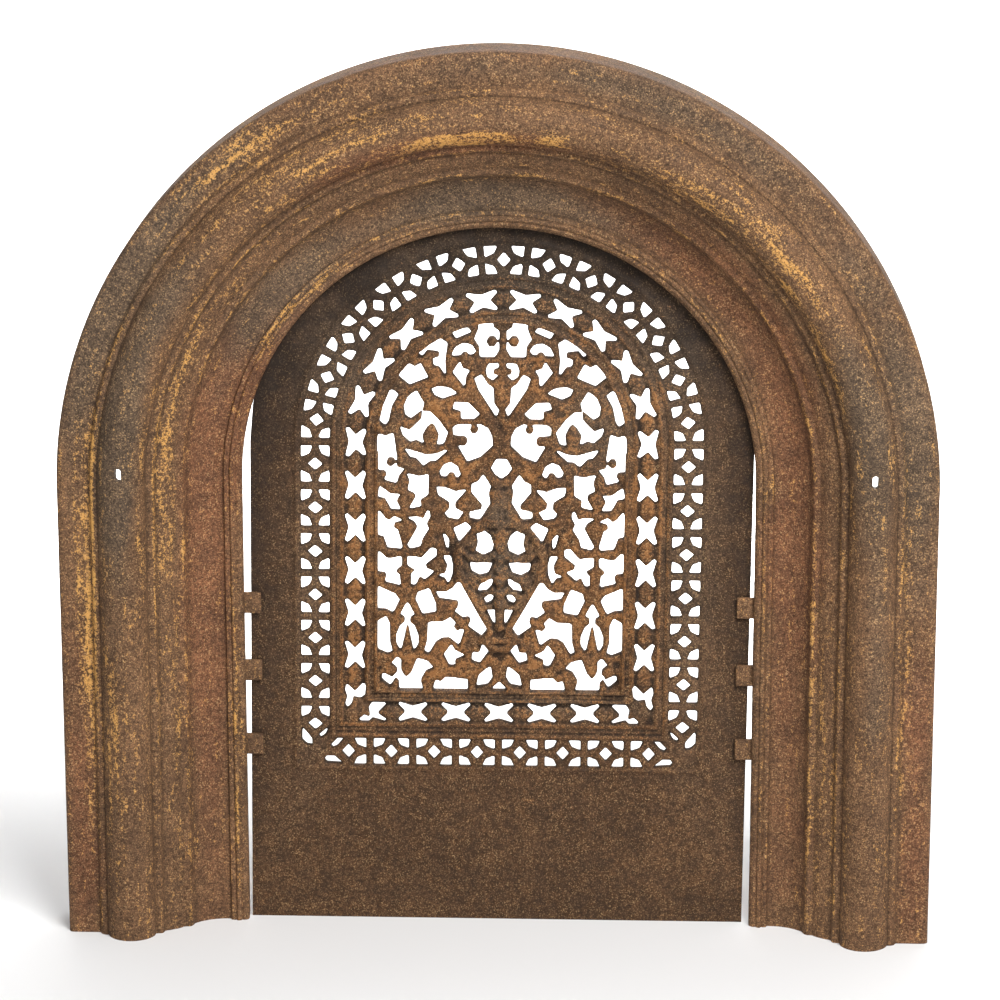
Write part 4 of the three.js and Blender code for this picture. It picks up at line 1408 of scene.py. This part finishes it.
class FIREPLACE_OT_surround(bpy.types.Operator):
    """Makes the arched surround over its CAD solid"""

    bl_idname = "fireplace.make_surround"
    bl_label = "Make surround"

    def execute(self, context):
        rust = context.scene.fireplace_rust
        material = rust_material(
            "rusted_surround_iron", shared_rust_group(), rust, rust.ochre, surround_amounts(rust)
        )
        piece = make_surround_mesh(context.scene.fireplace_casting, material)
        shade_smooth(piece.data, SURROUND_SHARP_DEGREES)
        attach(piece, "root")
        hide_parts("surround")
        return {"FINISHED"}


class FIREPLACE_OT_cover(bpy.types.Operator):
    """Makes the pierced summer cover over its CAD solid"""

    bl_idname = "fireplace.make_cover"
    bl_label = "Make summer cover"

    def execute(self, context):
        rust = context.scene.fireplace_rust
        material = rust_material(
            "rusted_cover_iron", shared_rust_group(), rust, rust.cover_orange, cover_amounts(rust)
        )
        piece = make_cover_mesh(context.scene.fireplace_casting, material)
        shade_smooth(piece.data, COVER_SHARP_DEGREES)
        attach(piece, "root")
        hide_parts("summer_cover")
        return {"FINISHED"}


def plain_material(name, shade, one_sided=False):
    """A plain grey material. A one-sided one is clear when it is seen from behind."""
    material = bpy.data.materials.new(name)
    material.use_nodes = True
    shader = material.node_tree.nodes["Principled BSDF"]
    shader.inputs["Base Color"].default_value = (shade, shade, shade, 1.0)
    shader.inputs["Roughness"].default_value = STAGE_ROUGHNESS
    if one_sided:
        nodes = material.node_tree.nodes
        join = material.node_tree.links.new
        side = nodes.new("ShaderNodeNewGeometry")
        clear = nodes.new("ShaderNodeBsdfTransparent")
        either = nodes.new("ShaderNodeMixShader")
        join(side.outputs["Backfacing"], either.inputs[0])
        join(shader.outputs["BSDF"], either.inputs[1])
        join(clear.outputs["BSDF"], either.inputs[2])
        join(either.outputs["Shader"], nodes["Material Output"].inputs["Surface"])
    return material


def sheet(name, corners, material):
    mesh = bpy.data.meshes.new(name)
    mesh.from_pydata(corners, [], [tuple(range(len(corners)))])
    mesh.materials.append(material)
    return link(bpy.data.objects.new(name, mesh))


def area_light(name, power):
    size, place, target = LIGHTS[name]
    light = bpy.data.lights.new(name, "AREA")
    light.energy = power
    light.shape = "SQUARE"
    light.size = size
    lamp = link(bpy.data.objects.new(name, light))
    lamp.location = place
    lamp.rotation_euler = (Vector(target) - Vector(place)).to_track_quat("-Z", "Y").to_euler()
    return lamp


class FIREPLACE_OT_stage(bpy.types.Operator):
    """Sets the pale floor, the backdrop, the soft light and the camera"""

    bl_idname = "fireplace.make_stage"
    bl_label = "Make stage"

    def execute(self, context):
        scene = context.scene
        stage = scene.fireplace_stage
        paper = plain_material("stage_paper", PAPER_SHADE, one_sided=True)
        ground = plain_material("stage_ground", GROUND_SHADE)
        half = stage.floor_size / 2
        around = ((-half, -half), (half, -half), (half, half), (-half, half))
        floor = sheet("stage_floor", [(x, y, 0) for x, y in around], ground)
        low = [(x, BACKDROP_Y, BACKDROP_FOOT) for x in (-half, half)]
        high = [(x, BACKDROP_Y, BACKDROP_TOP) for x in (half, -half)]
        backdrop = sheet("stage_backdrop", [*low, *high], paper)
        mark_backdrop(floor, backdrop)
        area_light("key", stage.key_light)
        area_light("front", stage.front_light)
        area_light("rear", stage.back_light).data.spread = REAR_SPREAD
        world = scene.world or bpy.data.worlds.new("world")
        scene.world = world
        world.use_nodes = True
        shade = world.node_tree.nodes["Background"]
        shade.inputs["Color"].default_value = (1.0, 1.0, 1.0, 1.0)
        shade.inputs["Strength"].default_value = stage.world_light
        camera = bpy.data.cameras.new("photo_camera")
        camera.lens = stage.lens
        camera.sensor_width = SENSOR_WIDTH
        viewer = link(bpy.data.objects.new("photo_camera", camera))
        turn = Matrix((CAMERA_RIGHT, CAMERA_UP, [-v for v in CAMERA_FORWARD])).transposed().to_4x4()
        viewer.matrix_world = Matrix.Translation(CAMERA_PLACE) @ turn
        scene.camera = viewer
        scene.view_settings.view_transform = "Standard"
        return {"FINISHED"}


class FIREPLACE_PT_panel(bpy.types.Panel):
    bl_idname = "FIREPLACE_PT_panel"
    bl_label = "Fireplace"
    bl_space_type = "VIEW_3D"
    bl_region_type = "UI"
    bl_category = "Fireplace"

    def draw(self, context):
        layout = self.layout
        groups = (
            (context.scene.fireplace_casting, "Castings"),
            (context.scene.fireplace_rust, "Rust"),
            (context.scene.fireplace_stage, "Stage"),
        )
        for group, title in groups:
            box = layout.box()
            box.label(text=title)
            for name in group.__annotations__:
                box.prop(group, name)
        for operator in OPERATORS:
            layout.operator(operator.bl_idname)


OPERATORS = (FIREPLACE_OT_surround, FIREPLACE_OT_cover, FIREPLACE_OT_stage)
GROUPS = {
    "fireplace_casting": FireplaceCasting,
    "fireplace_rust": FireplaceRust,
    "fireplace_stage": FireplaceStage,
}
CLASSES = (*GROUPS.values(), *OPERATORS, FIREPLACE_PT_panel)


def register():
    for item in CLASSES:
        bpy.utils.register_class(item)
    for name, group in GROUPS.items():
        setattr(bpy.types.Scene, name, PointerProperty(type=group))


def unregister():
    for name in GROUPS:
        delattr(bpy.types.Scene, name)
    for item in reversed(CLASSES):
        bpy.utils.unregister_class(item)


def plain(bounds):
    if isinstance(bounds, dict):
        return {str(key): plain(value) for key, value in bounds.items()}
    if isinstance(bounds, (str, int, float)) or bounds is None:
        return bounds
    return [plain(value) for value in bounds]


def main():
    before = plain(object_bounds())
    register()
    for operator in OPERATORS:
        group, name = operator.bl_idname.split(".")
        getattr(getattr(bpy.ops, group), name)()
    {"cad": before, "visual": plain(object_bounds())}


if __name__ == "__main__":
    main()
